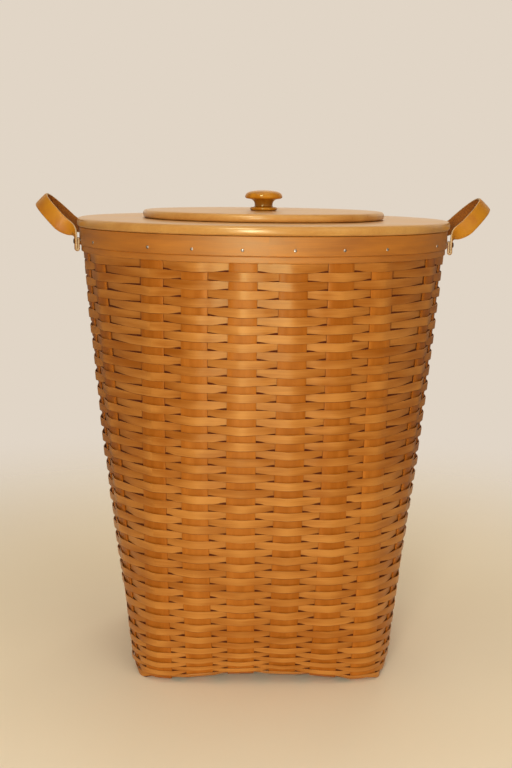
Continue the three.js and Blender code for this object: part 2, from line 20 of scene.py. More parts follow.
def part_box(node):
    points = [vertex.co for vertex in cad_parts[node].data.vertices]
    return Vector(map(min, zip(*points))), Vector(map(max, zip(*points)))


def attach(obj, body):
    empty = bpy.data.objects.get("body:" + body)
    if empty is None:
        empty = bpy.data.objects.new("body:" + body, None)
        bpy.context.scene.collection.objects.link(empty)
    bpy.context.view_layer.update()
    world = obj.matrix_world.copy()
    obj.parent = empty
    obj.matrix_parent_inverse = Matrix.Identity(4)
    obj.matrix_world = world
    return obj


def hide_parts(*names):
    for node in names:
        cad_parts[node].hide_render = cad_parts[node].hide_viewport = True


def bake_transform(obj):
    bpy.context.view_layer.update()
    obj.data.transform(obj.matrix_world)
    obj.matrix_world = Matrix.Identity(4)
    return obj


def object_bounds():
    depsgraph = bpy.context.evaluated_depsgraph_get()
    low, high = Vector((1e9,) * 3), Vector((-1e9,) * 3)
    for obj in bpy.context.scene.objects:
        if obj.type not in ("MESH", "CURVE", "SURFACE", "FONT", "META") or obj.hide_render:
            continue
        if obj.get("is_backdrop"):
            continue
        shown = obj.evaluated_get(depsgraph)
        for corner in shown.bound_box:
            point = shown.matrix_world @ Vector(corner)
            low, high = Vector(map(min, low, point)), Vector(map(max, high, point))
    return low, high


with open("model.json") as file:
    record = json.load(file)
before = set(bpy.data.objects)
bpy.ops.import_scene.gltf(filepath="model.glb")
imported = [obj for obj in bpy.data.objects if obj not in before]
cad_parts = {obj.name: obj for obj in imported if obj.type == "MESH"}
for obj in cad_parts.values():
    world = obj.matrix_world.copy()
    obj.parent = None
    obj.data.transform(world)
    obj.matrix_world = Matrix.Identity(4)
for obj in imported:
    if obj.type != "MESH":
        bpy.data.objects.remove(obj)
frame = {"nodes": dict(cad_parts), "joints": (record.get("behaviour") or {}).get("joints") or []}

CAD_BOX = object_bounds()
MM = 0.001
log = logging.getLogger("hamper")

Colour = tuple[float, float, float, float]
Spot = tuple[float, float]
Triple = tuple[float, float, float]


def tone(red: int, green: int, blue: int) -> Colour:
    """Turns a colour as seen on a screen into the linear one that shaders take.

    Args:
        red: Screen red, 0 to 255.
        green: Screen green, 0 to 255.
        blue: Screen blue, 0 to 255.

    Returns:
        Linear red, green, blue and an alpha of 1.
    """
    parts = [value / 255 for value in (red, green, blue)]
    linear = [p / 12.92 if p <= 0.04045 else ((p + 0.055) / 1.055) ** 2.4 for p in parts]
    return (linear[0], linear[1], linear[2], 1.0)


def smooth(low: float, high: float, value: np.ndarray | float) -> np.ndarray:
    """Rises smoothly from 0 at low to 1 at high."""
    t = np.clip((np.asarray(value, float) - low) / (high - low), 0, 1)
    return t * t * (3 - 2 * t)


def as_operator(operation: str, reflected: bool = False) -> Callable[["Wire", Any], "Wire"]:
    """Makes a Math node into one of Python's operators.

    Args:
        operation: The Math node's operation.
        reflected: Whether the wire stands on the operator's right.

    Returns:
        The operator's method.
    """

    def method(wire: "Wire", other: Any) -> "Wire":
        """Adds the node on the wire and the other value, a wire or a number."""
        return wire.bench.maths(operation, *((other, wire) if reflected else (wire, other)))

    return method


class Wire:
    """One output socket, with Python's operators standing for Math nodes."""

    def __init__(self, bench: "NodeBench", socket: bpy.types.NodeSocket) -> None:
        """Keeps the socket and the bench that adds nodes behind it."""
        self.bench = bench
        self.socket = socket

    def maths(self, operation: str, *others: Any) -> "Wire":
        """Adds a Math node on this wire and then other wires or numbers."""
        return self.bench.maths(operation, self, *others)

    __add__, __radd__ = as_operator("ADD"), as_operator("ADD", reflected=True)
    __sub__, __rsub__ = as_operator("SUBTRACT"), as_operator("SUBTRACT", reflected=True)
    __mul__, __rmul__ = as_operator("MULTIPLY"), as_operator("MULTIPLY", reflected=True)
    __truediv__ = as_operator("DIVIDE")
    __pow__ = as_operator("POWER")

    def __abs__(self) -> "Wire":
        """Drops the sign."""
        return self.maths("ABSOLUTE")

    def at_least(self, other: Any) -> "Wire":
        """Gives the greater of the wire and another number."""
        return self.maths("MAXIMUM", other)

    def ramp(self, low: Any, high: Any, start: float = 0.0, end: float = 1.0) -> "Wire":
        """Goes smoothly from start where the wire is low to end where it is high, and holds outside."""
        settings = {"interpolation_type": "SMOOTHSTEP", "clamp": True}
        return self.bench.node("ShaderNodeMapRange", settings, {0: self, 1: low, 2: high, 3: start, 4: end})


class NodeBench:
    """Adds nodes to one tree, of a material or of Geometry Nodes."""

    def __init__(self, tree: bpy.types.NodeTree) -> None:
        """Keeps the tree."""
        self.tree = tree

    def node(
        self,
        kind: str,
        settings: dict[str, Any] | None = None,
        inputs: dict[Any, Any] | None = None,
        output: int | str = 0,
    ) -> Wire:
        """Adds any node.

        Args:
            kind: The node's type.
            settings: Its properties, set before its sockets.
            inputs: Wires or values by the socket's name or number.
            output: The name or number of the output to return.

        Returns:
            That output.
        """
        made = self.tree.nodes.new(kind)
        for name, value in (settings or {}).items():
            setattr(made, name, value)
        for name, value in (inputs or {}).items():
            self.feed(made.inputs[name], value)
        return Wire(self, made.outputs[output])

    def feed(self, socket: bpy.types.NodeSocket, value: Any) -> None:
        """Links a wire to an input, or sets a plain value on it.

        Args:
            socket: The input.
            value: A wire or a plain value.
        """
        if isinstance(value, Wire):
            self.tree.links.new(value.socket, socket)
        else:
            socket.default_value = value

    def maths(self, operation: str, *values: Any) -> Wire:
        """Adds a Math node on wires or numbers."""
        return self.node("ShaderNodeMath", {"operation": operation}, dict(enumerate(values)))

    def vector(self, operation: str, *values: Any) -> Wire:
        """Adds a Vector Math node on wires or vectors."""
        return self.node("ShaderNodeVectorMath", {"operation": operation}, dict(enumerate(values)))

    def scaled(self, vector: Wire, factor: Wire) -> Wire:
        """Scales a vector by a number."""
        return self.node("ShaderNodeVectorMath", {"operation": "SCALE"}, {0: vector, "Scale": factor})

    def joined(self, *parts: Any) -> Wire:
        """Makes a vector of three numbers."""
        return self.node("ShaderNodeCombineXYZ", None, dict(enumerate(parts)))

    def outputs(
        self, kind: str, names: Iterable[int | str], inputs: dict[Any, Any] | None = None
    ) -> list[Wire]:
        """Adds any node and gives several of its outputs, by their names or numbers."""
        made = self.node(kind, None, inputs).socket.node
        return [Wire(self, made.outputs[name]) for name in names]

    def split(self, vector: Wire) -> list[Wire]:
        """Parts a vector into its three numbers."""
        return self.outputs("ShaderNodeSeparateXYZ", range(3), {0: vector})

    def mixed(self, share: Any, first: Any, second: Any) -> Wire:
        """Mixes two colours by the share of the second one."""
        return self.node("ShaderNodeMix", {"data_type": "RGBA"}, {0: share, 6: first, 7: second}, output=2)


class Surface(NodeBench):
    """A new material, its tree and its Principled shader."""

    def __init__(self, name: str) -> None:
        """Starts the material.

        Args:
            name: The material's name.
        """
        self.material = bpy.data.materials.new(name)
        self.material.use_nodes = True
        super().__init__(self.material.node_tree)
        self.shader = self.tree.nodes["Principled BSDF"]

    def attribute(self, name: str) -> Wire:
        """Reads an attribute of the mesh, which is 0 where the mesh has none."""
        return self.node("ShaderNodeAttribute", {"attribute_name": name}, output="Fac")

    def object_place(self) -> Wire:
        """Gives the shaded point in the piece's own axes."""
        return self.node("ShaderNodeTexCoord", output="Object")

    def noise(self, place: Wire, stretch: Triple, detail: float = 3.0) -> Wire:
        """Adds a noise from 0 to 1, stretched to so many repeats to a metre along each axis."""
        stretched = self.vector("MULTIPLY", place, stretch)
        return self.node("ShaderNodeTexNoise", None, {"Vector": stretched, "Scale": 1.0, "Detail": detail})

    def relief(self, height: Wire, strength: float, distance: float) -> Wire:
        """Adds a bump of a height that is worth a distance where it is 1."""
        inputs = {"Height": height, "Strength": strength, "Distance": distance}
        return self.node("ShaderNodeBump", None, inputs)

    def dress(self, inputs: dict[str, Any]) -> bpy.types.Material:
        """Feeds the shader.

        Args:
            inputs: Wires or plain values by the name of the shader's input.

        Returns:
            The finished material.
        """
        for name, value in inputs.items():
            self.feed(self.shader.inputs[name], value)
        return self.material


@dataclass(frozen=True)
class GrainScale:
    """Repeats to a metre of a wood's fibres and of its broad figure, along each axis."""

    fibres: Triple
    figure: Triple


class GrainRun(Enum):
    """How the grain of a wooden piece lies, and how fine it is."""

    # Along the strip's own length
    STRIP = GrainScale((22.0, 900.0, 1.0), (15.0, 100.0, 1.0))
    # Straight across a flat board
    BOARD = GrainScale((14.0, 700.0, 300.0), (3.0, 46.0, 20.0))
    # Up through a turned piece
    TURNED = GrainScale((420.0, 420.0, 20.0), (60.0, 60.0, 8.0))


# The value that noise varies round, and how far apart in it neighbouring strips are read
NOISE_MIDDLE = 0.5
STRIP_APART = 7.31

AMBER_GLOSS = (0.9, 1.0, 0.52, 1.0)
# Painted shade for recesses; only the knob's waist carries any
PAINTED_RECESS_SHADE = tone(96, 44, 12)

# Painted shade in the weave's slit openings, marked by a level in millimetres that plain wood never reaches
PAINTED_SLIT_SHADE = tone(84, 16, 0)
SLIT_LEVEL = 20.0
SLIT_SOFTNESS = 0.25
# Painted shade line where a strip slips behind an upright's edge, spanning by how far under the strip is
UPRIGHT_EDGE_SHADE_SPAN = (0.4, 0.45)
OUTER_FACE_SPAN = (0.0, 0.6)


@dataclass(frozen=True)
class WoodFinish:
    """Lacquered wood with fibres, broad figure, a tint for each strip that on woven crowns carries a painted
    highlight, painted shade in the recesses and painted shade in the weave's slit openings.
    """

    name: str
    pale: Colour
    deep: Colour
    grain: GrainRun
    roughness: float
    coat: float = 0.0
    coat_roughness: float = 0.3
    specular: float = 0.5
    fibre_share: float = 0.5
    figure_share: float = 1.1
    tint_share: float = 0.4
    dusk_share: float = 0.45
    fibre_detail: float = 4.0
    figure_detail: float = 2.0
    fibre_depth: float = 0.05 * MM
    fibre_strength: float = 0.35
    fibre_unevenness: float = 0.16
    figure_unevenness: float = 0.22

    def place(self, surface: Surface) -> Wire:
        """Says where the grain is read.

        Args:
            surface: The material in the making.

        Returns:
            The point, on the grain map of a strip or in the axes of any other piece.
        """
        if self.grain is not GrainRun.STRIP:
            return surface.object_place()
        flat = surface.node("ShaderNodeUVMap", {"uv_map": "Grain"})
        apart = surface.joined(0.0, 0.0, surface.attribute("strip") * STRIP_APART)
        return surface.vector("ADD", flat, apart)

    @staticmethod
    def slits(surface: Surface) -> Wire:
        """Says where painted shade stands in the slit under a woven strip and along the line where it slips
        behind an upright.

        Args:
            surface: The material in the making.

        Returns:
            A share of painted shade: 1 on the outer face in the slit under the strip and at the upright, 0
                on unwoven wood.
        """
        along = surface.attribute("slit").ramp(SLIT_LEVEL - SLIT_SOFTNESS, SLIT_LEVEL + SLIT_SOFTNESS)
        # The seam mark holds the strength of the painted shade line at the upright's edge
        beside = surface.attribute("under").ramp(*UPRIGHT_EDGE_SHADE_SPAN) * surface.attribute("seam")
        return along.at_least(beside) * surface.attribute("depth").ramp(*OUTER_FACE_SPAN)

    def make(self) -> bpy.types.Material:
        """Builds the material.

        Returns:
            The material.
        """
        surface = Surface(self.name)
        point = self.place(surface)
        fine = surface.noise(point, self.grain.value.fibres, self.fibre_detail)
        broad = surface.noise(point, self.grain.value.figure, self.figure_detail)
        fibre, figure = fine - NOISE_MIDDLE, broad - NOISE_MIDDLE
        tint = surface.attribute("tint") * self.tint_share
        share = fibre * self.fibre_share + figure * self.figure_share + tint + NOISE_MIDDLE
        wood = surface.mixed(share.ramp(0.0, 1.0), self.deep, self.pale)
        # Painted shade darkens the wood where the recess mark is set
        shaded = surface.mixed(surface.attribute("recess") * self.dusk_share, wood, PAINTED_RECESS_SHADE)
        # Painted shade in the slit openings, also fully rough so that no gloss shows on it
        slits = self.slits(surface)
        uneven = figure * self.figure_unevenness + fibre * self.fibre_unevenness + self.roughness
        return surface.dress({
            "Base Color": surface.mixed(slits, shaded, PAINTED_SLIT_SHADE),
            "Roughness": uneven.at_least(slits),
            "Normal": surface.relief(fine, self.fibre_strength, self.fibre_depth),
            "Specular IOR Level": self.specular,
            "Specular Tint": AMBER_GLOSS,
            "Coat Weight": self.coat,
            "Coat Roughness": self.coat_roughness,
        })


@dataclass(frozen=True)
class LeatherFinish:
    """Strap leather: smooth outside, suede inside and a raw pale edge."""

    name: str
    outside: Colour
    worn: Colour
    inside: Colour
    raw: Colour
    cloud_scale: float = 45.0
    nap_scale: float = 900.0
    pore_scale: float = 1500.0
    cloud_span: Spot = (0.35, 0.75)
    nap_span: Spot = (0.25, 0.8)
    side_span: Spot = (-0.4, 0.4)
    raw_span: Spot = (0.35, 0.65)
    nap_on_edges: float = 0.35
    pore_share: float = 0.5
    relief_depth: float = 0.2 * MM
    relief_strength: float = 0.3
    suede_roughness: float = 0.85
    smooth_roughness: float = 0.42
    edge_roughness: float = 0.25
    cloud_unevenness: float = 0.15
    specular: float = 0.3

    def make(self) -> bpy.types.Material:
        """Builds the material.

        Returns:
            The material.
        """
        surface = Surface(self.name)
        point = surface.object_place()
        side = surface.attribute("side")
        raw = surface.attribute("raw").ramp(*self.raw_span)
        cloud = surface.noise(point, (self.cloud_scale,) * 3)
        nap = surface.noise(point, (self.nap_scale,) * 3)
        pores = surface.node("ShaderNodeTexVoronoi", None, {"Vector": point, "Scale": self.pore_scale})
        top = surface.mixed(cloud.ramp(*self.cloud_span), self.outside, self.worn)
        flesh = surface.mixed(nap.ramp(*self.nap_span), self.inside, self.worn)
        faces = surface.mixed(side.ramp(*self.side_span), flesh, top)
        edges = surface.mixed(nap * self.nap_on_edges, self.raw, self.inside)
        faced = side.ramp(*self.side_span, self.suede_roughness, self.smooth_roughness)
        rough = faced + raw * self.edge_roughness + (cloud - NOISE_MIDDLE) * self.cloud_unevenness
        height = pores * self.pore_share + nap * (1 - self.pore_share)
        return surface.dress({
            "Base Color": surface.mixed(raw, faces, edges),
            "Roughness": rough,
            "Normal": surface.relief(height, self.relief_strength, self.relief_depth),
            "Specular IOR Level": self.specular,
        })


@dataclass(frozen=True)
class MetalFinish:
    """A small steel fitting, dulled in spots."""

    name: str
    bright: Colour
    dull: Colour
    roughness: float = 0.42
    unevenness: float = 0.4
    spot_scale: float = 600.0
    spot_span: Spot = (0.4, 0.7)

    def make(self) -> bpy.types.Material:
        """Builds the material.

        Returns:
            The material.
        """
        surface = Surface(self.name)
        spots = surface.noise(surface.object_place(), (self.spot_scale,) * 3)
        return surface.dress({
            "Base Color": surface.mixed(spots.ramp(*self.spot_span), self.bright, self.dull),
            "Roughness": (spots - NOISE_MIDDLE) * self.unevenness + self.roughness,
            "Metallic": 1.0,
        })


class Finishes:
    """Every material of the hamper, made once."""

    def __init__(self) -> None:
        """Makes the materials."""
        strip, board, turned = GrainRun.STRIP, GrainRun.BOARD, GrainRun.TURNED
        self.weaver = WoodFinish("weaver_wood", tone(194, 126, 53), tone(154, 82, 11), strip, 0.36).make()
        self.upright = WoodFinish(
            "splint_wood", tone(186, 109, 33), tone(159, 85, 14), strip, 0.42, specular=0.25, fibre_share=0.2
        ).make()
        self.band = WoodFinish(
            "band_wood", tone(190, 110, 14), tone(155, 81, 5), strip, 0.58,
            coat=0.2, coat_roughness=0.45, specular=1.0,
        ).make()
        self.lid = WoodFinish(
            "lid_wood", tone(213, 158, 82), tone(188, 127, 57), board, 0.34, coat=0.35, coat_roughness=0.24
        ).make()
        self.plain = WoodFinish("plain_wood", tone(222, 174, 116), tone(196, 142, 84), board, 0.55).make()
        self.knob = WoodFinish(
            "knob_wood", tone(216, 146, 32), tone(170, 98, 12), turned, 0.15, specular=0.55
        ).make()
        self.leather = LeatherFinish(
            "strap_leather", tone(198, 130, 18), tone(180, 108, 20), tone(118, 64, 20), tone(212, 184, 136)
        ).make()
        self.tack = MetalFinish("tack_steel", tone(182, 172, 158), tone(116, 102, 88)).make()
        self.screw = MetalFinish("dark_screw", tone(52, 44, 40), tone(28, 23, 20)).make()


def lengths(line: np.ndarray) -> np.ndarray:
    """Length of a line up to each of its points, from 0 at the first."""
    return np.concatenate([[0], np.cumsum(np.linalg.norm(np.diff(line, axis=0), axis=1))])


def grain_map(along: np.ndarray, across: np.ndarray) -> np.ndarray:
    """Grain map of a skin, by the place of each ring along it and of each point across it."""
    return np.stack(np.broadcast_arrays(along[:, None], across[None, :]), -1)


@dataclass
class Shape:
    """A mesh in the making: points, faces, attributes of the points and a grain map of the corners."""

    points: list[np.ndarray] = field(default_factory=list)
    faces: list[np.ndarray] = field(default_factory=list)
    values: dict[str, list[np.ndarray]] = field(default_factory=dict)
    grain: list[np.ndarray] = field(default_factory=list)
    count: int = 0

    def add_loft(
        self,
        sections: np.ndarray,
        grain: np.ndarray,
        looped: bool,
        **values: np.ndarray | float,
    ) -> None:
        """Adds a skin over a row of like rings, closed into a loop or capped at both ends.

        Args:
            sections: Points by ring, by place in the ring and by axis.
            grain: Grain map by ring and by place, with one more of each than the points have.
            looped: Whether the last ring joins the first.
            values: Point attributes, one number for all or an array that spreads over rings and places.
        """
        rings, around = sections.shape[:2]
        start = self.count
        i = np.arange(rings if looped else rings - 1)[:, None]
        j = np.arange(around)[None, :]
        corners = [(i, j), (i, j + 1), (i + 1, j + 1), (i + 1, j)]
        index = [start + (a % rings) * around + b % around for a, b in corners]
        self.faces.append(np.stack(np.broadcast_arrays(*index), -1).reshape(-1, 4))
        maps = [np.broadcast_to(grain[a, b], (len(i), around, 2)) for a, b in corners]
        self.grain.append(np.stack(maps, 2).reshape(-1, 2))
        if not looped:
            for ring, order in ((0, 1), (rings - 1, -1)):
                cap = (start + ring * around + np.arange(around))[::-order]
                self.faces.append(cap[None, :])
                self.grain.append(grain[ring, np.arange(around)[::-order]])
        self.points.append(sections.reshape(-1, sections.shape[2]))
        for name, value in values.items():
            whole = np.broadcast_to(np.asarray(value, float), (rings, around) + np.shape(value)[2:])
            self.values.setdefault(name, []).append(whole.reshape((rings * around,) + np.shape(value)[2:]))
        self.count += rings * around

    def mesh(self, name: str) -> bpy.types.Mesh:
        """Makes the Blender mesh.

        Args:
            name: The mesh's name.

        Returns:
            The mesh, with its attributes and its grain map.
        """
        made = bpy.data.meshes.new(name)
        faces = [face.tolist() for group in self.faces for face in group]
        made.from_pydata(np.concatenate(self.points).tolist(), [], faces)
        for key, parts in self.values.items():
            data = np.concatenate(parts).astype(np.float32)
            vector = data.ndim > 1
            layer = made.attributes.new(key, "FLOAT_VECTOR" if vector else "FLOAT", "POINT")
            layer.data.foreach_set("vector" if vector else "value", data.ravel())
        layer = made.uv_layers.new(name="Grain")
        layer.data.foreach_set("uv", np.concatenate(self.grain).astype(np.float32).ravel())
        return made

    def piece(self, name: str, material: bpy.types.Material) -> bpy.types.Object:
        """Makes the object and dresses it.

        Args:
            name: The object's name.
            material: Its material.

        Returns:
            The object.
        """
        made = add_object(name, self.mesh(name))
        made.data.materials.append(material)
        return made


def add_object(name: str, mesh: bpy.types.Mesh) -> bpy.types.Object:
    """Links a new object at the origin.

    Args:
        name: The object's name.
        mesh: Its mesh.

    Returns:
        The object.
    """
    made = bpy.data.objects.new(name, mesh)
    bpy.context.scene.collection.objects.link(made)
    return made


def shade(piece: bpy.types.Object, crease_deg: float) -> None:
    """Shades a piece smooth, apart from edges that are sharper than the crease."""
    piece.data.shade_smooth()
    piece.data.set_sharp_from_angle(angle=math.radians(crease_deg))


def place_piece(
    piece: bpy.types.Object, body: str, slot: str, nodes: Iterable[str], crease_deg: float
) -> bpy.types.Object:
    """Smooths a finished piece, lets it ride on its body and stand for its nodes.

    Args:
        piece: The finished piece.
        body: The body that it rides on.
        slot: Not used.
        nodes: The nodes that it stands for.
        crease_deg: Edges sharper than this stay crisp.

    Returns:
        The piece.
    """
    shade(piece, crease_deg)
    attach(piece, body)
    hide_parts(*nodes)
    log.info("%s: %d faces on %s", piece.name, len(piece.data.polygons), body)
    return piece


@dataclass(frozen=True)
class Draw:
    """A range of random numbers, and a shift of the key that keeps it apart from other draws."""

    low: float
    high: float
    shift: float = 0.0


class GeometryRecipe:
    """A Geometry Nodes tree with named inputs, and the step that turns its result into a plain mesh."""

    def __init__(self, name: str, inputs: dict[str, float]) -> None:
        """Starts the tree with its inputs.

        Args:
            name: The tree's name.
            inputs: The values of its inputs by name. A whole number makes a socket for whole numbers.
        """
        self.tree = bpy.data.node_groups.new(name, "GeometryNodeTree")
        self.bench = NodeBench(self.tree)
        interface = self.tree.interface
        interface.new_socket("Geometry", in_out="INPUT", socket_type="NodeSocketGeometry")
        self.values = {}
        for label, value in inputs.items():
            kind = "NodeSocketInt" if isinstance(value, int) else "NodeSocketFloat"
            made = interface.new_socket(label, in_out="INPUT", socket_type=kind)
            self.values[made.identifier] = value
        interface.new_socket("Geometry", in_out="OUTPUT", socket_type="NodeSocketGeometry")
        self.source = self.tree.nodes.new("NodeGroupInput")

    def given(self, name: str) -> Wire:
        """Gives one of the tree's inputs by name."""
        return Wire(self.bench, self.source.outputs[name])

    def named(self, name: str, kind: str = "FLOAT") -> Wire:
        """Reads a named attribute of the geometry."""
        return self.bench.node("GeometryNodeInputNamedAttribute", {"data_type": kind}, {"Name": name})

    def stored(self, geometry: Wire, name: str, value: Wire) -> Wire:
        """Stores a number on the points.

        Args:
            geometry: The points.
            name: The attribute's name.
            value: The number.

        Returns:
            The points with the attribute.
        """
        settings = {"data_type": "FLOAT", "domain": "POINT"}
        inputs = {"Geometry": geometry, "Name": name, "Value": value}
        return self.bench.node("GeometryNodeStoreNamedAttribute", settings, inputs)

    def random(self, key: Wire, draw: Draw) -> Wire:
        """Draws a number for each key, by the tree's seed."""
        inputs = {2: draw.low, 3: draw.high, "ID": key + draw.shift, "Seed": self.given("Seed")}
        return self.bench.node("FunctionNodeRandomValue", {"data_type": "FLOAT"}, inputs, output=1)

    def close(self, geometry: Wire, material: bpy.types.Material) -> None:
        """Ends the tree in real geometry with its material.

        Args:
            geometry: What the tree has made.
            material: The material of all of it.
        """
        real = self.bench.node("GeometryNodeRealizeInstances", None, {"Geometry": geometry})
        dressed = self.bench.node("GeometryNodeSetMaterial", None, {"Geometry": real, "Material": material})
        end = self.tree.nodes.new("NodeGroupOutput")
        self.bench.feed(end.inputs["Geometry"], dressed)

    def bake(self, name: str, source: bpy.types.Mesh) -> bpy.types.Object:
        """Runs the tree on a mesh and keeps the result as a plain object.

        Args:
            name: The new object's name.
            source: The mesh that goes in.

        Returns:
            The new object, without a modifier.
        """
        made = add_object(name, source)
        modifier = made.modifiers.new("Recipe", "NODES")
        modifier.node_group = self.tree
        for identifier, value in self.values.items():
            modifier[identifier] = value
        depsgraph = bpy.context.evaluated_depsgraph_get()
        mesh = bpy.data.meshes.new_from_object(
            made.evaluated_get(depsgraph), preserve_all_data_layers=True, depsgraph=depsgraph
        )
        made.modifiers.remove(modifier)
        made.data = mesh
        mesh.name = name
        return made


class SplintPlace(NamedTuple):
    """Where a splint stands on a face: distance from the middle at the base, and angle at the rim."""

    local: float
    rim: float


@dataclass(frozen=True)
class WallShape:
    """The wall's form, measured to the outer face of the uprights: square at the base, round at the rim."""

    base_half: float = 162.8 * MM
    top_radius: float = 234 * MM
    bulge: float = 6.5 * MM
    height: float = 535.2 * MM
    corner_reach: float = 46.2 * MM
    bend_radius: float = 16 * MM
    arch_rise: float = 9.5 * MM
    arch_fade: float = 80 * MM
    splint_width: float = 33 * MM
    front_splints: int = 6
    side_splints: int = 5
    rim_pitch_deg: float = 14.2
    front_margin: float = 19.4 * MM
    side_margin: float = 33.4 * MM
    upright_share: float = 0.28

    @property
    def uprights(self) -> int:
        """How many upright ends stand round the rim."""
        return 2 * (self.front_splints + self.side_splints)

    def half_width(self, z: np.ndarray | float) -> np.ndarray:
        """Half width across the flats at a height."""
        t = np.minimum(1, np.asarray(z, float) / self.height)
        return self.base_half + (self.top_radius - self.base_half) * t + 4 * self.bulge * t * (1 - t)

    def squareness(self, z: np.ndarray | float) -> np.ndarray:
        """Says how square the section is.

        Args:
            z: The height.

        Returns:
            The section's exponent: 2 is a circle, and a larger one is nearer to a square.
        """
        t = np.minimum(1, np.asarray(z, float) / self.height)
        base = self.base_half + self.corner_reach
        corner = base + (self.top_radius - base) * t
        return 1 / (0.5 - np.log2(corner / self.half_width(z)))

    def base_angle(self, local: np.ndarray | float) -> np.ndarray:
        """Finds points of the base section by their place on its face.

        Args:
            local: Distance from the middle of the face.

        Returns:
            The angle of each point.
        """
        half = self.half_width(self.bend_radius)
        n = self.squareness(self.bend_radius)
        depth = half * (1 - (np.abs(local) / half) ** n) ** (1 / n)
        return np.arctan2(local, depth)

    def places(self, count: int, margin: float) -> list[SplintPlace]:
        """Spreads the splints over a face.

        Args:
            count: How many splints the face has.
            margin: Distance from the outermost splint's edge to the corner.

        Returns:
            The place of each splint.
        """
        outermost = self.half_width(self.bend_radius) - margin - self.splint_width / 2
        middle = (count - 1) / 2
        pitch = math.radians(self.rim_pitch_deg)
        return [
            SplintPlace(float(outermost) * (i - middle) / middle, pitch * (i - middle)) for i in range(count)
        ]

    @property
    def front_places(self) -> list[SplintPlace]:
        """The splints of the front, and of the back."""
        return self.places(self.front_splints, self.front_margin)

    @property
    def side_places(self) -> list[SplintPlace]:
        """The splints of each side."""
        return self.places(self.side_splints, self.side_margin)

    def arch_lift(self, x: np.ndarray, z: np.ndarray) -> np.ndarray:
        """Says how far the arch of the base raises a point.

        Args:
            x: The point's place across the front.
            z: Its height.

        Returns:
            The lift, which fades out up the wall.
        """
        half = self.front_places[-1].local - self.splint_width / 2
        fade = np.maximum(0, 1 - np.asarray(z) / self.arch_fade) ** 2
        return self.arch_rise * np.maximum(0, 1 - (np.asarray(x) / half) ** 2) * fade

    def arched(self, x: np.ndarray, y: np.ndarray, z: np.ndarray) -> np.ndarray:
        """Points of the plain form, raised by the arch of the base."""
        x, y, z = np.broadcast_arrays(x, y, z)
        return np.stack([x, y, z + self.arch_lift(x, z)], -1)

    def on_wall(
        self, base: np.ndarray, rim: np.ndarray, z: np.ndarray | float, offset: np.ndarray | float
    ) -> np.ndarray:
        """Points on lines that climb the wall.

        Args:
            base: Each line's angle at the base.
            rim: Each line's angle at the rim.
            z: The height.
            offset: How far out of the reference face the points lie.

        Returns:
            The points.
        """
        z = np.asarray(z, float)
        t = np.minimum(1, (z - self.bend_radius) / (self.height - self.bend_radius))
        angle = base + (rim - base) * t
        n = self.squareness(z)
        across = np.abs(np.sin(angle)) ** n + np.abs(np.cos(angle)) ** n
        radius = (self.half_width(z) + offset) / across ** (1 / n)
        return self.arched(radius * np.sin(angle), -radius * np.cos(angle), z)

    def on_bend(
        self, base: np.ndarray, out: np.ndarray, bend: np.ndarray | float, offset: np.ndarray | float
    ) -> np.ndarray:
        """Points on lines that go round the bend between wall and base.

        Args:
            base: Each line's angle at the base.
            out: The way that each line's face looks.
            bend: How far round the bend, from 0 at the wall to a quarter turn at the base.
            offset: How far out of the reference face the points lie.

        Returns:
            The points.
        """
        start = self.on_wall(base, base, self.bend_radius, 0.0)
        reach = (self.bend_radius + offset) * np.cos(bend) - self.bend_radius
        x = start[..., 0] + np.sin(out) * reach
        y = start[..., 1] - np.cos(out) * reach
        return self.arched(x, y, self.bend_radius - (self.bend_radius + offset) * np.sin(bend))

    def ways(self) -> np.ndarray:
        """Lists the edges and the middle of every upright round the wall.

        Returns:
            Rows of way, base angle, rim angle and face angle. A way is the upright's number, and an
            upright's edges lie a fixed share of a way beside its middle. The list runs past both ends.
        """
        faces = [self.front_places, self.side_places] * 2
        half, half_angle = self.splint_width / 2, self.splint_width / 2 / self.top_radius
        uprights = [(k * math.pi / 2, p) for k, places in enumerate(faces) for p in places]
        rows = []
        for turn in (-1, 0, 1):
            for i, (face, (local, rim)) in enumerate(uprights):
                for edge in (-1, 0, 1):
                    angle = face + turn * 2 * math.pi
                    way = i + turn * len(uprights) + edge * self.upright_share
                    base = angle + float(self.base_angle(local + edge * half))
                    rows.append((way, base, angle + rim + edge * half_angle, angle))
        return np.array(rows)


@dataclass(frozen=True)
class Crossing:
    """Numbers that the weave's tree works out for each point of a strip, by its nearest upright.

    Attributes:
        row: The strip's number.
        aside: Distance from the upright's middle, in ways.
        over: 1 where the strip passes over the upright, and -1 where it passes under.
        front: The same as a share from 0 to 1.
        lens: 1 at the upright's middle, falling to 0 beside it.
        key: A number for each crossing.
        end: A number for each side of each crossing.
        pitch: The row's height.
        across: Distance down from the strip's middle.
    """

    row: Wire
    aside: Wire
    over: Wire
    front: Wire
    lens: Wire
    key: Wire
    end: Wire
    pitch: Wire
    across: Wire


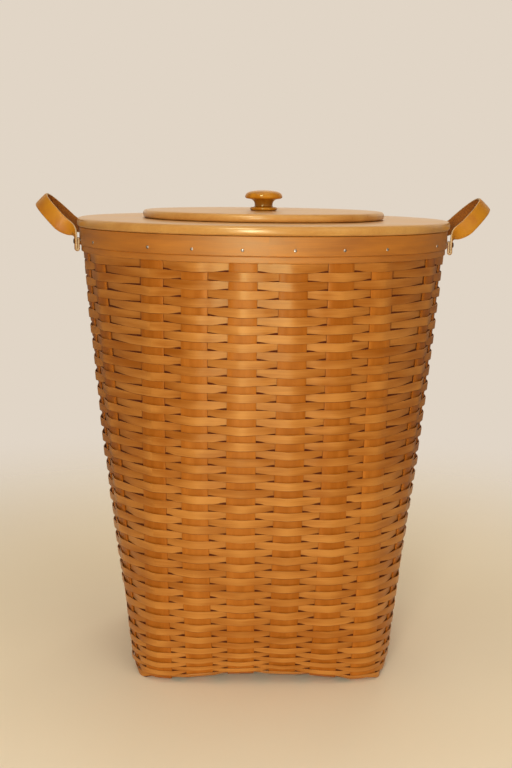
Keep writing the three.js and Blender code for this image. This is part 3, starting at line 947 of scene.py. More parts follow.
@dataclass
class WeaverRows:
    """The weaver strips, each one a closed row over and under the uprights."""

    wall: WallShape
    material: bpy.types.Material
    bands: int = 7
    rows_per_band: int = 8
    top_band_extra_rows: int = 2
    bend_rows: int = 2
    bend_end_deg: float = 42.0
    corner_foot: float = 0.2 * MM
    thinning: float = 0.117
    squeeze: float = 0.41
    squeeze_power: int = 12
    steps: int = 12
    thickness: float = 1.0 * MM
    upright_thickness: float = 1.6 * MM
    clearance: float = 0.05 * MM
    floor_gap: float = 0.05 * MM
    bow: float = 2.3 * MM
    under_bow: float = -0.3
    bend_bow: float = 0.1
    lens_reach: float = 0.34
    droop: float = 0.2 * MM
    over_height_share: float = 1.06
    under_height_share: float = 1.4
    crown_fade: float = 0.05
    opening_span: Spot = (-0.25, 0.44)
    crease_deg: float = 30.0
    seed: int = 5

    # What varies from crossing to crossing or, for the tint, from row to row; paler crowns are a painted
    # highlight, and the opening and edge draws size the painted shade
    KEYS_PER_ROW = 64.0
    SWELL = Draw(0.65, 1.25)
    HEIGHT = Draw(0.95, 1.05, 5000.0)
    SAG = Draw(-0.5 * MM, 0.5 * MM, 9000.0)
    CROWN = Draw(0.1, 0.9, 300.0)
    ROW_TINT = Draw(-0.4, 0.4, 700.0)
    # Length of the painted slit shade, and strength of the painted shade line at upright edges
    OPENING = Draw(0.11, 0.25, 20000.0)
    SEAM = Draw(0.25, 1.0, 40000.0)

    # Across the strip: place from the upper to the lower edge and place through the thickness
    SECTION = (
        (-1, 0.6), (-0.97, 0.96), (-0.5, 1), (0.5, 1), (0.97, 0.96), (1, 0.6),
        (1, -0.6), (0.97, -0.96), (-0.97, -0.96), (-1, -0.6),
    )

    @property
    def wall_rows(self) -> int:
        """Rows above the bend."""
        return self.bands * self.rows_per_band - 1

    def first_row(self, band: int) -> int:
        """Numbers the rows of the bands.

        Args:
            band: The band's number, from 0 at the top.

        Returns:
            The band's first row, or one past the last row for the band after the last.
        """
        if band == 0:
            return 0
        return min(band * self.rows_per_band + self.top_band_extra_rows, self.wall_rows + self.bend_rows)

    def row_height(self, row: float) -> float:
        """Finds the height of a row's upper edge, with rows that get lower towards the base.

        Args:
            row: The row's number from the top.

        Returns:
            The height before the arch raises it.
        """
        power = self.squeeze_power + 1

        def fall(t: float) -> float:
            """Share of the wall above a row."""
            return t - self.thinning * t**2 / 2 - self.squeeze * t**power / power

        share = fall(row / self.wall_rows) / fall(1.0)
        return self.wall.height + (self.wall.bend_radius - self.wall.height) * share

    def row_line(self, row: int, shift: float, lines: Sequence[np.ndarray]) -> np.ndarray:
        """Points along a row on the reference face.

        Args:
            row: The row's number from the top.
            shift: Where across the row, from -0.5 at its upper edge to 0.5 at its lower edge.
            lines: Base, rim and face angles of the lines that it crosses, and how near each is to a corner.

        Returns:
            The points, one for each line.
        """
        base, rim, out, nearness = lines
        corner = nearness[:, None]
        if row < self.wall_rows:
            top, bottom = self.row_height(row), self.row_height(row + 1)
            return self.wall.on_wall(base, rim, (top + bottom) / 2 + (bottom - top) * shift, 0.0)
        end = math.radians(self.bend_end_deg)
        share = (row - self.wall_rows + 0.5 + shift) / self.bend_rows
        height = self.wall.bend_radius + (self.corner_foot - self.wall.bend_radius) * share
        straight = self.wall.on_wall(base, base, height, 0.0)
        if share < 0:
            return straight
        return straight * corner + self.wall.on_bend(base, out, end * share, 0.0) * (1 - corner)

    def ribbons(self, name: str, rows: Iterable[int]) -> bpy.types.Mesh:
        """Makes the strips before they are woven: rings of points on the row's middle, with what each needs.

        Args:
            name: The mesh's name.
            rows: The rows to make.

        Returns:
            The mesh.
        """
        table = self.wall.ways()
        way = np.arange(self.wall.uprights * self.steps) / self.steps
        lines = [np.interp(way, table[:, 0], table[:, k]) for k in (1, 2, 3)]
        front, side = self.wall.front_splints, self.wall.side_splints
        corners = np.cumsum([front, side, front, side]) - 0.5
        lines.append(1 - smooth(0.0, 0.5, np.abs(way[:, None] - corners).min(1)))
        edge, depth = np.array(self.SECTION).T
        shape = Shape()
        for row in rows:
            middle = self.row_line(row, 0.0, lines)
            down = self.row_line(row, 0.5, lines) - self.row_line(row, -0.5, lines)
            pitch = np.linalg.norm(down, axis=1)
            down /= pitch[:, None]
            along = np.roll(middle, -1, 0) - np.roll(middle, 1, 0)
            out = np.cross(down, along)
            out /= np.linalg.norm(out, axis=1)[:, None]
            across = np.append(edge, edge[0]) * pitch.mean() / 2
            shape.add_loft(
                np.repeat(middle[:, None], len(edge), 1),
                grain_map(lengths(np.append(middle, middle[:1], 0)), across),
                looped=True,
                way=way[:, None],
                strip=float(row),
                edge=edge,
                depth=depth,
                pitch=pitch[:, None],
                out=out[:, None],
                down=down[:, None],
            )
        return shape.mesh(name)

    def recipe(self) -> GeometryRecipe:
        """Builds the tree that weaves the strips.

        Returns:
            The tree.
        """
        made = GeometryRecipe("weave_strips", {
            "Uprights": float(self.wall.uprights),
            "Upright Share": self.wall.upright_share,
            "Upright Thickness": self.upright_thickness,
            "Thickness": self.thickness,
            "Clearance": self.clearance,
            "Bow": self.bow,
            "Droop": self.droop,
            "Over Height Share": self.over_height_share,
            "Under Height Share": self.under_height_share,
            "Seed": self.seed,
        })
        at = self.crossing(made)
        woven = self.woven(made, at)
        made.close(self.marked(made, at, woven), self.material)
        return made

    def crossing(self, made: GeometryRecipe) -> Crossing:
        """Works out how each point of a strip meets its nearest upright.

        Args:
            made: The tree.

        Returns:
            The numbers of that crossing.
        """
        way, row = made.named("way"), made.named("strip")
        number = (way + 0.5).maths("FLOOR")
        key = row * self.KEYS_PER_ROW + number.maths("FLOORED_MODULO", made.given("Uprights"))
        aside = abs(way - number)
        over = (number + row).maths("PINGPONG", 1.0) * 2.0 - 1.0
        front = over.ramp(-1.0, 1.0)
        over_share = made.given("Over Height Share") * made.random(key, self.HEIGHT)
        under_share = made.given("Under Height Share")
        share = under_share + (over_share - under_share) * front
        pitch = made.named("pitch")
        height = pitch * ((share - 1.0) * aside.ramp(made.given("Upright Share"), 0.5, 1.0, 0.0) + 1.0)
        return Crossing(
            row=row,
            aside=aside,
            over=over,
            front=front,
            lens=aside.ramp(0.0, self.lens_reach, 1.0, 0.0),
            key=key,
            end=key * 2.0 + way.maths("GREATER_THAN", number),
            pitch=pitch,
            across=made.named("edge") * height * 0.5,
        )

    def woven(self, made: GeometryRecipe, at: Crossing) -> Wire:
        """Moves the points of the strips over and under the uprights.

        Args:
            made: The tree.
            at: The numbers of each point's crossing.

        Returns:
            The strips, none of which reaches below the ground.
        """
        bench = made.bench
        thickness, upright = made.given("Thickness"), made.given("Upright Thickness")
        edge_share = made.given("Upright Share")
        weave = at.over * at.aside.ramp(edge_share, 1.0 - edge_share, 1.0, -1.0)
        reach = (thickness + upright) * 0.5 + made.given("Clearance")
        on_wall = at.row.maths("LESS_THAN", self.wall_rows - 0.5)
        swelling = made.given("Bow") * at.lens * made.random(at.key, self.SWELL)
        bow = swelling * at.over.ramp(-1.0, 1.0, self.under_bow, 1.0)
        bow = bow * (on_wall * (1 - self.bend_bow) + self.bend_bow)
        offset = upright * -0.5 + weave * reach + bow + made.named("depth") * thickness * 0.5
        drop = at.across + (made.random(at.key, self.SAG) + made.given("Droop") * at.front) * at.lens
        outwards = bench.scaled(made.named("out", "FLOAT_VECTOR"), offset)
        downwards = bench.scaled(made.named("down", "FLOAT_VECTOR"), drop)
        inputs = {"Geometry": made.given("Geometry"), "Offset": bench.vector("ADD", outwards, downwards)}
        placed = bench.node("GeometryNodeSetPosition", None, inputs)
        x, y, z = bench.split(bench.node("GeometryNodeInputPosition"))
        level = bench.joined(x, y, z.at_least(self.floor_gap))
        return bench.node("GeometryNodeSetPosition", None, {"Geometry": placed, "Position": level})

    def marked(self, made: GeometryRecipe, at: Crossing, strips: Wire) -> Wire:
        """Stores what the finish needs: the tint with a painted highlight on the crowns, and where the
        painted slit shade and upright-edge shade beside the strips lie.

        Args:
            made: The tree.
            at: The numbers of each point's crossing.
            strips: The woven strips.

        Returns:
            The strips with their attributes.
        """
        # Painted highlight: strips are paler on their crowns over the uprights
        crown = at.lens * at.front * made.random(at.key, self.CROWN) - self.crown_fade
        covered = at.row.maths("LESS_THAN", self.wall_rows + self.bend_rows - 1.5)
        # Painted shade: a wedge along the lower edge where the strip slips under, of random length
        under = at.over * (at.aside - 0.5) * covered * 2.0
        opening = at.pitch * under.ramp(*self.opening_span) * made.random(at.end, self.OPENING) * covered
        marks = {
            "tint": crown + made.random(at.row, self.ROW_TINT),
            "under": under,
            "slit": (opening + at.across - at.pitch * 0.5) / MM + SLIT_LEVEL,
            "seam": made.random(at.end, self.SEAM),
        }
        for name, value in marks.items():
            strips = made.stored(strips, name, value)
        return strips

    def build(self) -> list[bpy.types.Object]:
        """Weaves every band of rows.

        Returns:
            One piece for each band.
        """
        recipe = self.recipe()
        pieces = []
        for band in range(self.bands):
            name = f"weaver_rows_{band + 1}"
            rows = range(self.first_row(band), self.first_row(band + 1))
            piece = recipe.bake(name, self.ribbons(name, rows))
            nodes = [f"weaver_band_{band + 1}"]
            pieces.append(place_piece(piece, "basket", "weaver_wood", nodes, self.crease_deg))
        return pieces


@dataclass
class Uprights:
    """The splints: up one wall, woven across the base and up the wall opposite."""

    wall: WallShape
    material: bpy.types.Material
    thickness: float = 1.6 * MM
    base_gap: float = 0.25 * MM
    wall_steps: int = 44
    bend_steps: int = 10
    base_steps: int = 64
    lift_start_deg: float = 52.0
    crease_deg: float = 50.0
    tint_reach: float = 0.5
    first_strip: int = 100
    strip_step: int = 10
    seed: int = 11

    # Across the strip: place from edge to edge and share of the thickness from the outer face
    SECTION = (
        (-1, 0.3), (-0.95, 0), (-0.5, -0.12), (0, -0.16), (0.5, -0.12), (0.95, 0), (1, 0.3),
        (1, 0.7), (0.95, 1), (0, 1), (-0.95, 1), (-1, 0.7),
    )

    # The section's point in the middle of the outer face
    MIDDLE_POINT = 3

    @property
    def top(self) -> float:
        """Height of the upper ends, inside the rim."""
        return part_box("side_splint_1")[1].z

    def side_sections(self, face: float, place: SplintPlace, sign: int, lift: float) -> np.ndarray:
        """Rings of a splint down one wall and round the bend.

        Args:
            face: The way that the wall looks.
            place: Where the splint stands on the wall's face.
            sign: -1 on the far wall, where left and right change over.
            lift: How far the strip is raised where it reaches the base.

        Returns:
            Points by ring, by place in the ring and by axis.
        """
        share, depth = np.array(self.SECTION).T
        half = self.wall.splint_width / 2
        base = face + self.wall.base_angle(sign * (place.local + share * half))
        rim = face + sign * (place.rim + share * half / self.wall.top_radius)
        offset = -depth * self.thickness
        heights = np.linspace(self.top, self.wall.bend_radius, self.wall_steps)
        rings = [self.wall.on_wall(base, rim, z, offset) for z in heights]
        start = math.radians(self.lift_start_deg)
        for bend in np.linspace(0, math.pi / 2, self.bend_steps + 1)[1:]:
            ring = self.wall.on_bend(base, np.full_like(base, face), bend, offset)
            ring[:, 2] = np.maximum(0, ring[:, 2]) + lift * smooth(start, math.pi / 2, bend)
            rings.append(ring)
        return np.array(rings)

    def base_lift(
        self, index: int, over_even: bool, crossings: Sequence[float], at: np.ndarray
    ) -> np.ndarray:
        """How far a strip is raised along its way across the base.

        Args:
            index: The strip's number.
            over_even: Whether a strip of even number goes over a crossing of even number.
            crossings: Places of the strips that it crosses.
            at: Places along the strip.

        Returns:
            The lift at each place.
        """
        levels = [float((index + k) % 2 == (0 if over_even else 1)) for k in range(len(crossings))]
        half = self.wall.splint_width / 2
        lift = np.full_like(at, levels[0])
        for k in range(1, len(crossings)):
            start, end = crossings[k - 1] + half, crossings[k] - half
            lift += (levels[k] - levels[k - 1]) * smooth(start, end, at)
        return lift * (self.thickness + self.base_gap)

    def splint(self, shape: Shape, face: float, index: int, strip: float, tint: float) -> None:
        """Adds one splint to a shape.

        Args:
            shape: The shape that takes it.
            face: The way that its first wall looks: 0 for the front, a quarter turn for the right side.
            index: Its number on that face.
            strip: A number that shifts its grain.
            tint: How pale it is.
        """
        from_front = face == 0
        own = self.wall.front_places if from_front else self.wall.side_places
        other = self.wall.side_places if from_front else self.wall.front_places
        crossings = [place.local for place in other]
        ends = self.base_lift(index, from_front, crossings, np.array([crossings[-1], crossings[0]]))
        near_lift, far_lift = (ends[1], ends[0]) if from_front else (ends[0], ends[1])
        near = self.side_sections(face, own[index], 1, near_lift)
        far = self.side_sections(face + math.pi, own[index], -1, far_lift)[::-1]
        travel = np.linspace(0, 1, self.base_steps + 2)[1:-1, None, None]
        floor = near[-1] + (far[0] - near[-1]) * travel
        at = floor[:, self.MIDDLE_POINT, 1 if from_front else 0]
        flat = np.array([depth for _, depth in self.SECTION]) * self.thickness
        lift = self.base_lift(index, from_front, crossings, at)
        floor[..., 2] = np.maximum(0, flat)[None, :] + lift[:, None]
        floor[..., 2] += self.wall.arch_lift(floor[..., 0], np.zeros_like(floor[..., 0]))
        sections = np.concatenate([near, floor, far])
        share = np.array([s for s, _ in self.SECTION + self.SECTION[:1]]) * self.wall.splint_width / 2
        grain = grain_map(lengths(sections[:, self.MIDDLE_POINT]), share)
        shape.add_loft(sections, grain, looped=False, strip=strip, tint=tint)

    def build(self) -> list[bpy.types.Object]:
        """Builds both sets of splints.

        Returns:
            The piece of the front-to-back splints and the piece of the side splints.
        """
        draw = np.random.default_rng(self.seed)
        sets = [
            ("front_back_uprights", 0.0, self.wall.front_splints, "front_back_splint"),
            ("side_uprights", math.pi / 2, self.wall.side_splints, "side_splint"),
        ]
        pieces = []
        for name, face, count, node in sets:
            shape = Shape()
            for index in range(count):
                strip = self.first_strip + self.strip_step * face + index
                self.splint(shape, face, index, strip, draw.uniform(-self.tint_reach, self.tint_reach))
            piece = shape.piece(name, self.material)
            nodes = [f"{node}_{index + 1}" for index in range(count)]
            pieces.append(place_piece(piece, "basket", "splint_wood", nodes, self.crease_deg))
        return pieces


def arc(centre: Spot, radius: float, start: float, end: float, steps: int) -> list[Spot]:
    """Points of an arc in a profile, between angles in degrees from straight out towards up."""
    angles = np.radians(np.linspace(start, end, steps + 1))
    return [(centre[0] + radius * math.cos(a), centre[1] + radius * math.sin(a)) for a in angles]


def bow(first: Spot, pull: Spot, last: Spot, steps: int = 10) -> list[Spot]:
    """Points of a curve from one point to another that is drawn towards a third.

    Args:
        first: Where it starts.
        pull: The point that draws it.
        last: Where it ends.
        steps: How many steps it has.

    Returns:
        The points, without the first.
    """
    t = np.linspace(0, 1, steps + 1)[1:]
    a, b, c = (np.array(p) for p in (first, pull, last))
    curve = np.outer((1 - t) ** 2, a) + np.outer(2 * t * (1 - t), b) + np.outer(t**2, c)
    return [tuple(p) for p in curve]


@dataclass
class Turned:
    """A piece of revolution about the hamper's axis."""

    name: str
    profile: list[Spot]
    material: bpy.types.Material
    body: str
    slot: str
    node: str
    steps: int = 192
    strip: float = 0.0
    # Share of painted shade at each point of the profile
    recess: Sequence[float] = (0.0,)
    crease_deg: float = 35.0

    def build(self) -> bpy.types.Object:
        """Turns the closed profile and places the piece.

        Returns:
            The piece.
        """
        radius, height = np.array(self.profile).T
        angle = np.linspace(0, 2 * math.pi, self.steps, endpoint=False)[:, None]
        sections = np.stack(
            np.broadcast_arrays(radius * np.sin(angle), -radius * np.cos(angle), height[None, :]), -1
        )
        closed = np.array(self.profile + self.profile[:1])
        turn = np.linspace(0, 2 * math.pi, self.steps + 1) * radius.max()
        grain = grain_map(turn, lengths(closed))
        shape = Shape()
        shape.add_loft(sections, grain, looped=True, strip=self.strip, recess=np.array(self.recess))
        piece = shape.piece(self.name, self.material)
        return place_piece(piece, self.body, self.slot, [self.node], self.crease_deg)


INNER_EDGE = 1 * MM
INNER_STEPS = 3
OUTER_STEPS = 6


def ring_profile(node: str, inner: float, edge: float, rise: float = 0.0) -> list[Spot]:
    """A flat ring's profile with all its edges rounded, from the box of its node.

    Args:
        node: The node that gives the outer radius and both heights.
        inner: The inner radius.
        edge: The radius of its edges.
        rise: How far its top stands above the node's.

    Returns:
        The profile, in order from the inside of the bottom outwards.
    """
    low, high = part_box(node)
    outer, bottom, top = high.x, low.z, high.z + rise
    small = min(edge, INNER_EDGE)
    return (
        arc((inner + small, bottom + small), small, 180, 270, INNER_STEPS)
        + arc((outer - edge, bottom + edge), edge, 270, 360, OUTER_STEPS)
        + arc((outer - edge, top - edge), edge, 0, 90, OUTER_STEPS)
        + arc((inner + small, top - small), small, 90, 180, INNER_STEPS)
    )


@dataclass(frozen=True)
class HeadForm:
    """A flattened ball: its segments and rings, and the power that its height is raised to."""

    segments: int
    rings: int
    power: float


class HeadShape(Enum):
    """The kinds of fastener head that show."""

    # A small domed tack
    TACK = HeadForm(16, 10, 1.0)
    # A low round screw head, flat on top
    SCREW = HeadForm(24, 14, 0.45)


@dataclass
class Heads:
    """Fastener heads set on points, each facing out of the surface that it holds."""

    name: str
    kind: HeadShape
    radius: float
    height: float
    material: bpy.types.Material
    slot: str
    crease_deg: float = 60.0

    def recipe(self) -> GeometryRecipe:
        """Builds the tree that sets a head on each point.

        Returns:
            The tree.
        """
        sizes = {"Radius": self.radius, "Height": self.height}
        made = GeometryRecipe(f"set_{self.kind.name.lower()}_heads", sizes)
        bench, form = made.bench, self.kind.value
        ball = bench.node(
            "GeometryNodeMeshUVSphere", None, {"Segments": form.segments, "Rings": form.rings}
        )
        x, y, z = bench.split(bench.node("GeometryNodeInputPosition"))
        radius, raised = made.given("Radius"), z.maths("SIGN") * abs(z) ** form.power
        shaped = bench.joined(x * radius, y * radius, raised * made.given("Height"))
        head = bench.node("GeometryNodeSetPosition", None, {"Geometry": ball, "Position": shaped})
        out = made.named("out", "FLOAT_VECTOR")
        turn = bench.node("FunctionNodeAlignRotationToVector", {"axis": "Z"}, {"Vector": out})
        inputs = {"Points": made.given("Geometry"), "Instance": head, "Rotation": turn}
        copies = bench.node("GeometryNodeInstanceOnPoints", None, inputs)
        made.close(copies, self.material)
        return made

    def build(
        self, points: Sequence[Vector], ways_out: Sequence[Vector], nodes: Sequence[str]
    ) -> bpy.types.Object:
        """Sets the heads and places the piece.

        Args:
            points: Where the heads' seats are.
            ways_out: The way that each head faces.
            nodes: The nodes that the heads stand for.

        Returns:
            The piece.
        """
        source = bpy.data.meshes.new(self.name)
        source.from_pydata([tuple(p) for p in points], [], [])
        layer = source.attributes.new("out", "FLOAT_VECTOR", "POINT")
        layer.data.foreach_set("vector", [value for way in ways_out for value in way])
        piece = self.recipe().bake(self.name, source)
        return place_piece(piece, "basket", self.slot, nodes, self.crease_deg)


@dataclass
class Rim:
    """The bent bands round the upright ends, and the tacks through them."""

    wall: WallShape
    finishes: Finishes
    band_edge: float = 1.1 * MM
    trim_edge: float = 0.9 * MM
    seam: float = 0.3 * MM
    inner_thickness: float = 6 * MM
    first_strip: int = 201
    tack_radius: float = 1.9 * MM
    tack_height: float = 0.9 * MM
    tack_sink: float = 0.1 * MM

    def build(self) -> list[bpy.types.Object]:
        """Builds the bands and the tacks.

        Returns:
            The pieces.
        """
        outer, inner = (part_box(n)[1].x for n in ("outer_rim_band", "inner_rim_band"))
        inside = self.wall.top_radius + self.seam
        rows = [
            ("outer_band", "outer_rim_band", inside, self.band_edge, 0.0),
            ("inner_band", "inner_rim_band", inner - self.inner_thickness, self.band_edge, 0.0),
            ("lower_trim", "trim_band", inside, self.trim_edge, self.seam),
        ]
        pieces = []
        for strip, (name, node, hole, edge, rise) in enumerate(rows, self.first_strip):
            profile = ring_profile(node, hole, edge, rise)
            band = Turned(name, profile, self.finishes.band, "basket", "band_wood", node, strip=strip)
            pieces.append(band.build())
        pieces.append(self.tacks(outer))
        return pieces

    def tacks(self, radius: float) -> bpy.types.Object:
        """Sets a tack over each upright's middle.

        Args:
            radius: The rim's outer radius.

        Returns:
            The piece of all the tacks.
        """
        middles = self.wall.ways()[1::3]
        count = self.wall.uprights
        angles = [row[2] for row in middles if 0 <= row[0] < count]
        nodes = [f"rim_tack_{i + 1:02d}" for i in range(count)]
        low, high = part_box(nodes[0])
        z = (low.z + high.z) / 2
        ways_out = [Vector((math.sin(a), -math.cos(a), 0)) for a in angles]
        points = [way * (radius - self.tack_sink) + Vector((0, 0, z)) for way in ways_out]
        heads = Heads(
            "rim_tacks", HeadShape.TACK, self.tack_radius, self.tack_height, self.finishes.tack, "tack_steel"
        )
        return heads.build(points, ways_out, nodes)


@dataclass
class Knob:
    """The turned knob: a foot, a waist that sweeps up, and a mushroom cap."""

    material: bpy.types.Material
    bore: float
    neck: float = 11.8 * MM
    foot: float = 18 * MM
    bead: float = 2.2 * MM
    bead_start_deg: float = -80
    bead_end_deg: float = 70
    bead_steps: int = 7
    lip_lift: float = 0.2 * MM
    tip: float = 0.2 * MM
    steps: int = 96
    # How dark the painted shade on the waist is
    dusk: float = 1.6

    # Shares of the knob's height, from below
    flare_share: float = 0.14
    waist_share: float = 0.27
    socket_share: float = 0.55
    lip_share: float = 0.565
    belly_share: float = 0.68
    dome_share: float = 0.86
    shoulder_share: float = 0.935

    # A share of the lip's height, and shares of the cap's radius
    throat_share: float = 0.94
    lip_reach: float = 0.8
    shoulder_reach: float = 0.72
    crown_reach: float = 0.42

    def build(self) -> bpy.types.Object:
        """Draws the profile and turns it.

        Returns:
            The piece.
        """
        low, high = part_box("lid_knob")
        cap, height = high.y, high.z - low.z
        lip, socket = height * self.lip_share, height * self.socket_share
        under_lip, foot = cap * self.lip_reach, self.foot - self.bead
        profile = [(self.bore, 0), (foot, 0)]
        profile += arc((foot, self.bead), self.bead, self.bead_start_deg, self.bead_end_deg, self.bead_steps)
        for pull, last in (
            ((self.neck, height * self.flare_share), (self.neck, height * self.waist_share)),
            ((self.neck, lip * self.throat_share), (under_lip, lip)),
            ((cap, lip + self.lip_lift), (cap, height * self.belly_share)),
            ((cap, height * self.dome_share), (cap * self.shoulder_reach, height * self.shoulder_share)),
            ((cap * self.crown_reach, height), (self.tip, height)),
        ):
            profile += bow(profile[-1], pull, last)
        profile += [(self.tip, socket), (self.bore, socket)]
        raised = [(r, z + low.z) for r, z in profile]
        # Painted shade below the cap's lip, darkest where the knob is narrowest
        shares = [float(z < lip) * (1 - float(smooth(self.neck, under_lip, r))) for r, z in profile]
        recess = [self.dusk * share for share in shares]
        return Turned(
            "turned_knob", raised, self.material, "centre_lid", "knob_wood", "lid_knob",
            self.steps, recess=recess,
        ).build()


@dataclass
class Lids:
    """The ring lid, the centre lid that lifts out of it, and the turned knob."""

    finishes: Finishes
    ring_edge: float = 4.6 * MM
    centre_edge: float = 4.2 * MM
    locating_edge: float = 1 * MM
    hole: float = 140 * MM
    locating_width: float = 12 * MM
    bore: float = 2.3 * MM

    def build(self) -> list[bpy.types.Object]:
        """Builds both lids, their locating pieces and the knob.

        Returns:
            The pieces.
        """
        lid, plain = self.finishes.lid, self.finishes.plain
        ring, disc = "ring_lid_locating_ring", "centre_lid_locating_disc"
        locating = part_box(ring)[1].x - self.locating_width
        rows = [
            ("ring_board", "ring_lid", self.hole, self.ring_edge, lid, "ring_lid", "lid_wood"),
            ("ring_locator", ring, locating, self.locating_edge, plain, "ring_lid", "plain_wood"),
            ("centre_board", "centre_lid", self.bore, self.centre_edge, lid, "centre_lid", "lid_wood"),
            ("centre_locator", disc, self.bore, self.locating_edge, plain, "centre_lid", "plain_wood"),
        ]
        pieces = [
            Turned(name, ring_profile(node, inner, edge), material, body, slot, node).build()
            for name, node, inner, edge, material, body, slot in rows
        ]
        pieces.append(Knob(self.finishes.knob, self.bore).build())
        self.dress_screw()
        return pieces

    def dress_screw(self) -> None:
        """Gives the knob's hidden screw its steel."""
        screw = frame["nodes"]["knob_screw"]
        screw.data.materials.clear()
        screw.data.materials.append(self.finishes.tack)


class Side(StrEnum):
    """The sides of the hamper that have a handle."""

    LEFT = "left"
    RIGHT = "right"


class StrapEnd(StrEnum):
    """The ends of a handle's strap."""

    FRONT = "front"
    BACK = "back"


class StrapRow(NamedTuple):
    """A place along a strap: its middle, the way out of the grain side and half the width."""

    point: Vector
    facing: Vector
    half: float


@dataclass
class EarHandle:
    """A leather strap in a loop, whose ends twist and fold double on the rim."""

    side: Side
    finishes: Finishes
    width: float = 20 * MM
    tab_width: float = 16.6 * MM
    inner_width: float = 7 * MM
    thickness: float = 3.1 * MM
    reach: float = 66 * MM
    roundness: float = 2.3
    tilt_deg: float = 45.0
    twist_end: float = 25 * MM
    twist_steps: int = 16
    twist_pull: float = 0.42
    widening_start: float = 0.2
    loop_steps: int = 96
    tab_steps: int = 6
    fold_steps: int = 10
    layer_gap: float = 0.05 * MM
    tip_inset: float = 0.5 * MM
    twist_inset: float = 2 * MM
    bend_below: float = 2 * MM
    bend_above: float = 18 * MM
    raw_from: float = 0.97
    crease_deg: float = 50.0
    screw_radius: float = 3.4 * MM
    screw_height: float = 1.6 * MM
    screw_gap: float = 0.1 * MM

    # Across the strap: place along its width and place through its thickness, the grain side first
    SECTION = (
        (-1, 0.3), (-0.95, 0.72), (-0.82, 0.95), (-0.4, 1.1),
        (0.4, 1.1), (0.82, 0.95), (0.95, 0.72), (1, 0.3),
        (1, -0.6), (0.94, -0.95), (0.4, -1), (-0.4, -1), (-0.94, -0.95), (-1, -0.6),
    )

    @property
    def sign(self) -> int:
        """Which side of the hamper: 1 is +X."""
        return 1 if self.side is Side.RIGHT else -1

    @property
    def hinge(self) -> Vector:
        """The middle of the fold on which the loop swings."""
        joint = next(j for j in frame["joints"] if j["name"] == f"{self.side}_handle_swing")
        return Vector(joint["pos_m"])

    @property
    def rise(self) -> Vector:
        """The way that the loop stands out from its fold."""
        tilt = math.radians(self.tilt_deg)
        return Vector((self.sign * math.sin(tilt), 0, math.cos(tilt)))

    @property
    def across(self) -> Vector:
        """The way across the strap's width in the loop, away from the lid."""
        tilt = math.radians(self.tilt_deg)
        return Vector((self.sign * math.cos(tilt), 0, -math.sin(tilt)))

    def tab_frame(self, end: StrapEnd) -> tuple[Vector, Vector]:
        """Where an end of the strap lies on the rim.

        Args:
            end: Which end.

        Returns:
            The middle of the tab's node and the way out of the rim there.
        """
        low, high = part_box(f"{self.side}_handle_{end}_tab")
        middle = (low + high) / 2
        return middle, Vector((middle.x, middle.y, 0)).normalized()

    def loop(self) -> list[StrapRow]:
        """Follows the loop from the end of one twist to the start of the other.

        Returns:
            The rows, from the front to the back.
        """
        span = abs(self.tab_frame(StrapEnd.FRONT)[0].y)
        power = 2 / self.roundness
        shift = self.across * (self.width / 2 - self.inner_width)
        rows = []
        for t in np.linspace(0, math.pi, self.loop_steps + 1):
            y = -span * math.copysign(abs(math.cos(t)) ** power, math.cos(t))
            z = self.reach * math.sin(t) ** power
            if z < self.twist_end:
                continue
            bulge = abs(y / span) ** (self.roundness - 1) * math.copysign(1 / span, y)
            crown = (z / self.reach) ** (self.roundness - 1) / self.reach
            facing = (Vector((0, bulge, 0)) + self.rise * crown).normalized()
            point = self.hinge + self.rise * z + Vector((0, y, 0)) + shift
            rows.append(StrapRow(point, facing, self.width / 2))
        return rows

    def folded_end(self, end: StrapEnd, foot: StrapRow) -> list[StrapRow]:
        """Lays one end of the strap: doubled on the rim, then up and out with a quarter twist.

        Args:
            end: Which end.
            foot: The row of the loop that it runs into.

        Returns:
            The rows, from the hidden tip to the loop.
        """
        middle, out = self.tab_frame(end)
        low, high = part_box(f"{self.side}_handle_{end}_tab")
        layer = self.thickness / 2 + self.layer_gap
        bottom = low.z + layer + self.thickness / 2
        upright = Vector((0, 0, 1))
        base = Vector((middle.x, middle.y, 0))
        half = self.tab_width / 2
        rows = []
        for z in np.linspace(high.z - self.tip_inset, bottom, self.tab_steps):
            rows.append(StrapRow(base - out * layer + upright * z, -out, half))
        for turn in np.linspace(0, math.pi, self.fold_steps + 1)[1:-1]:
            facing = out * -math.cos(turn) - upright * math.sin(turn)
            rows.append(StrapRow(base + facing * layer + upright * bottom, facing, half))
        for z in np.linspace(bottom, high.z - self.twist_inset, self.tab_steps):
            rows.append(StrapRow(base + out * layer + upright * z, out, half))
        start, goal = rows[-1].point, foot.point
        pull = (goal - start).length * self.twist_pull
        bends = (start, start + upright * pull, goal - self.rise * pull, goal)
        for step in range(1, self.twist_steps):
            t = step / self.twist_steps
            weights = ((1 - t) ** 3, 3 * t * (1 - t) ** 2, 3 * t * t * (1 - t), t**3)
            point = sum((p * w for p, w in zip(bends, weights)), Vector())
            quarter = float(smooth(0.0, 1.0, t)) * math.pi / 2
            facing = out * math.cos(quarter) + foot.facing * math.sin(quarter)
            widening = float(smooth(self.widening_start, 1.0, t))
            rows.append(StrapRow(point, facing, half + (self.width / 2 - half) * widening))
        return rows

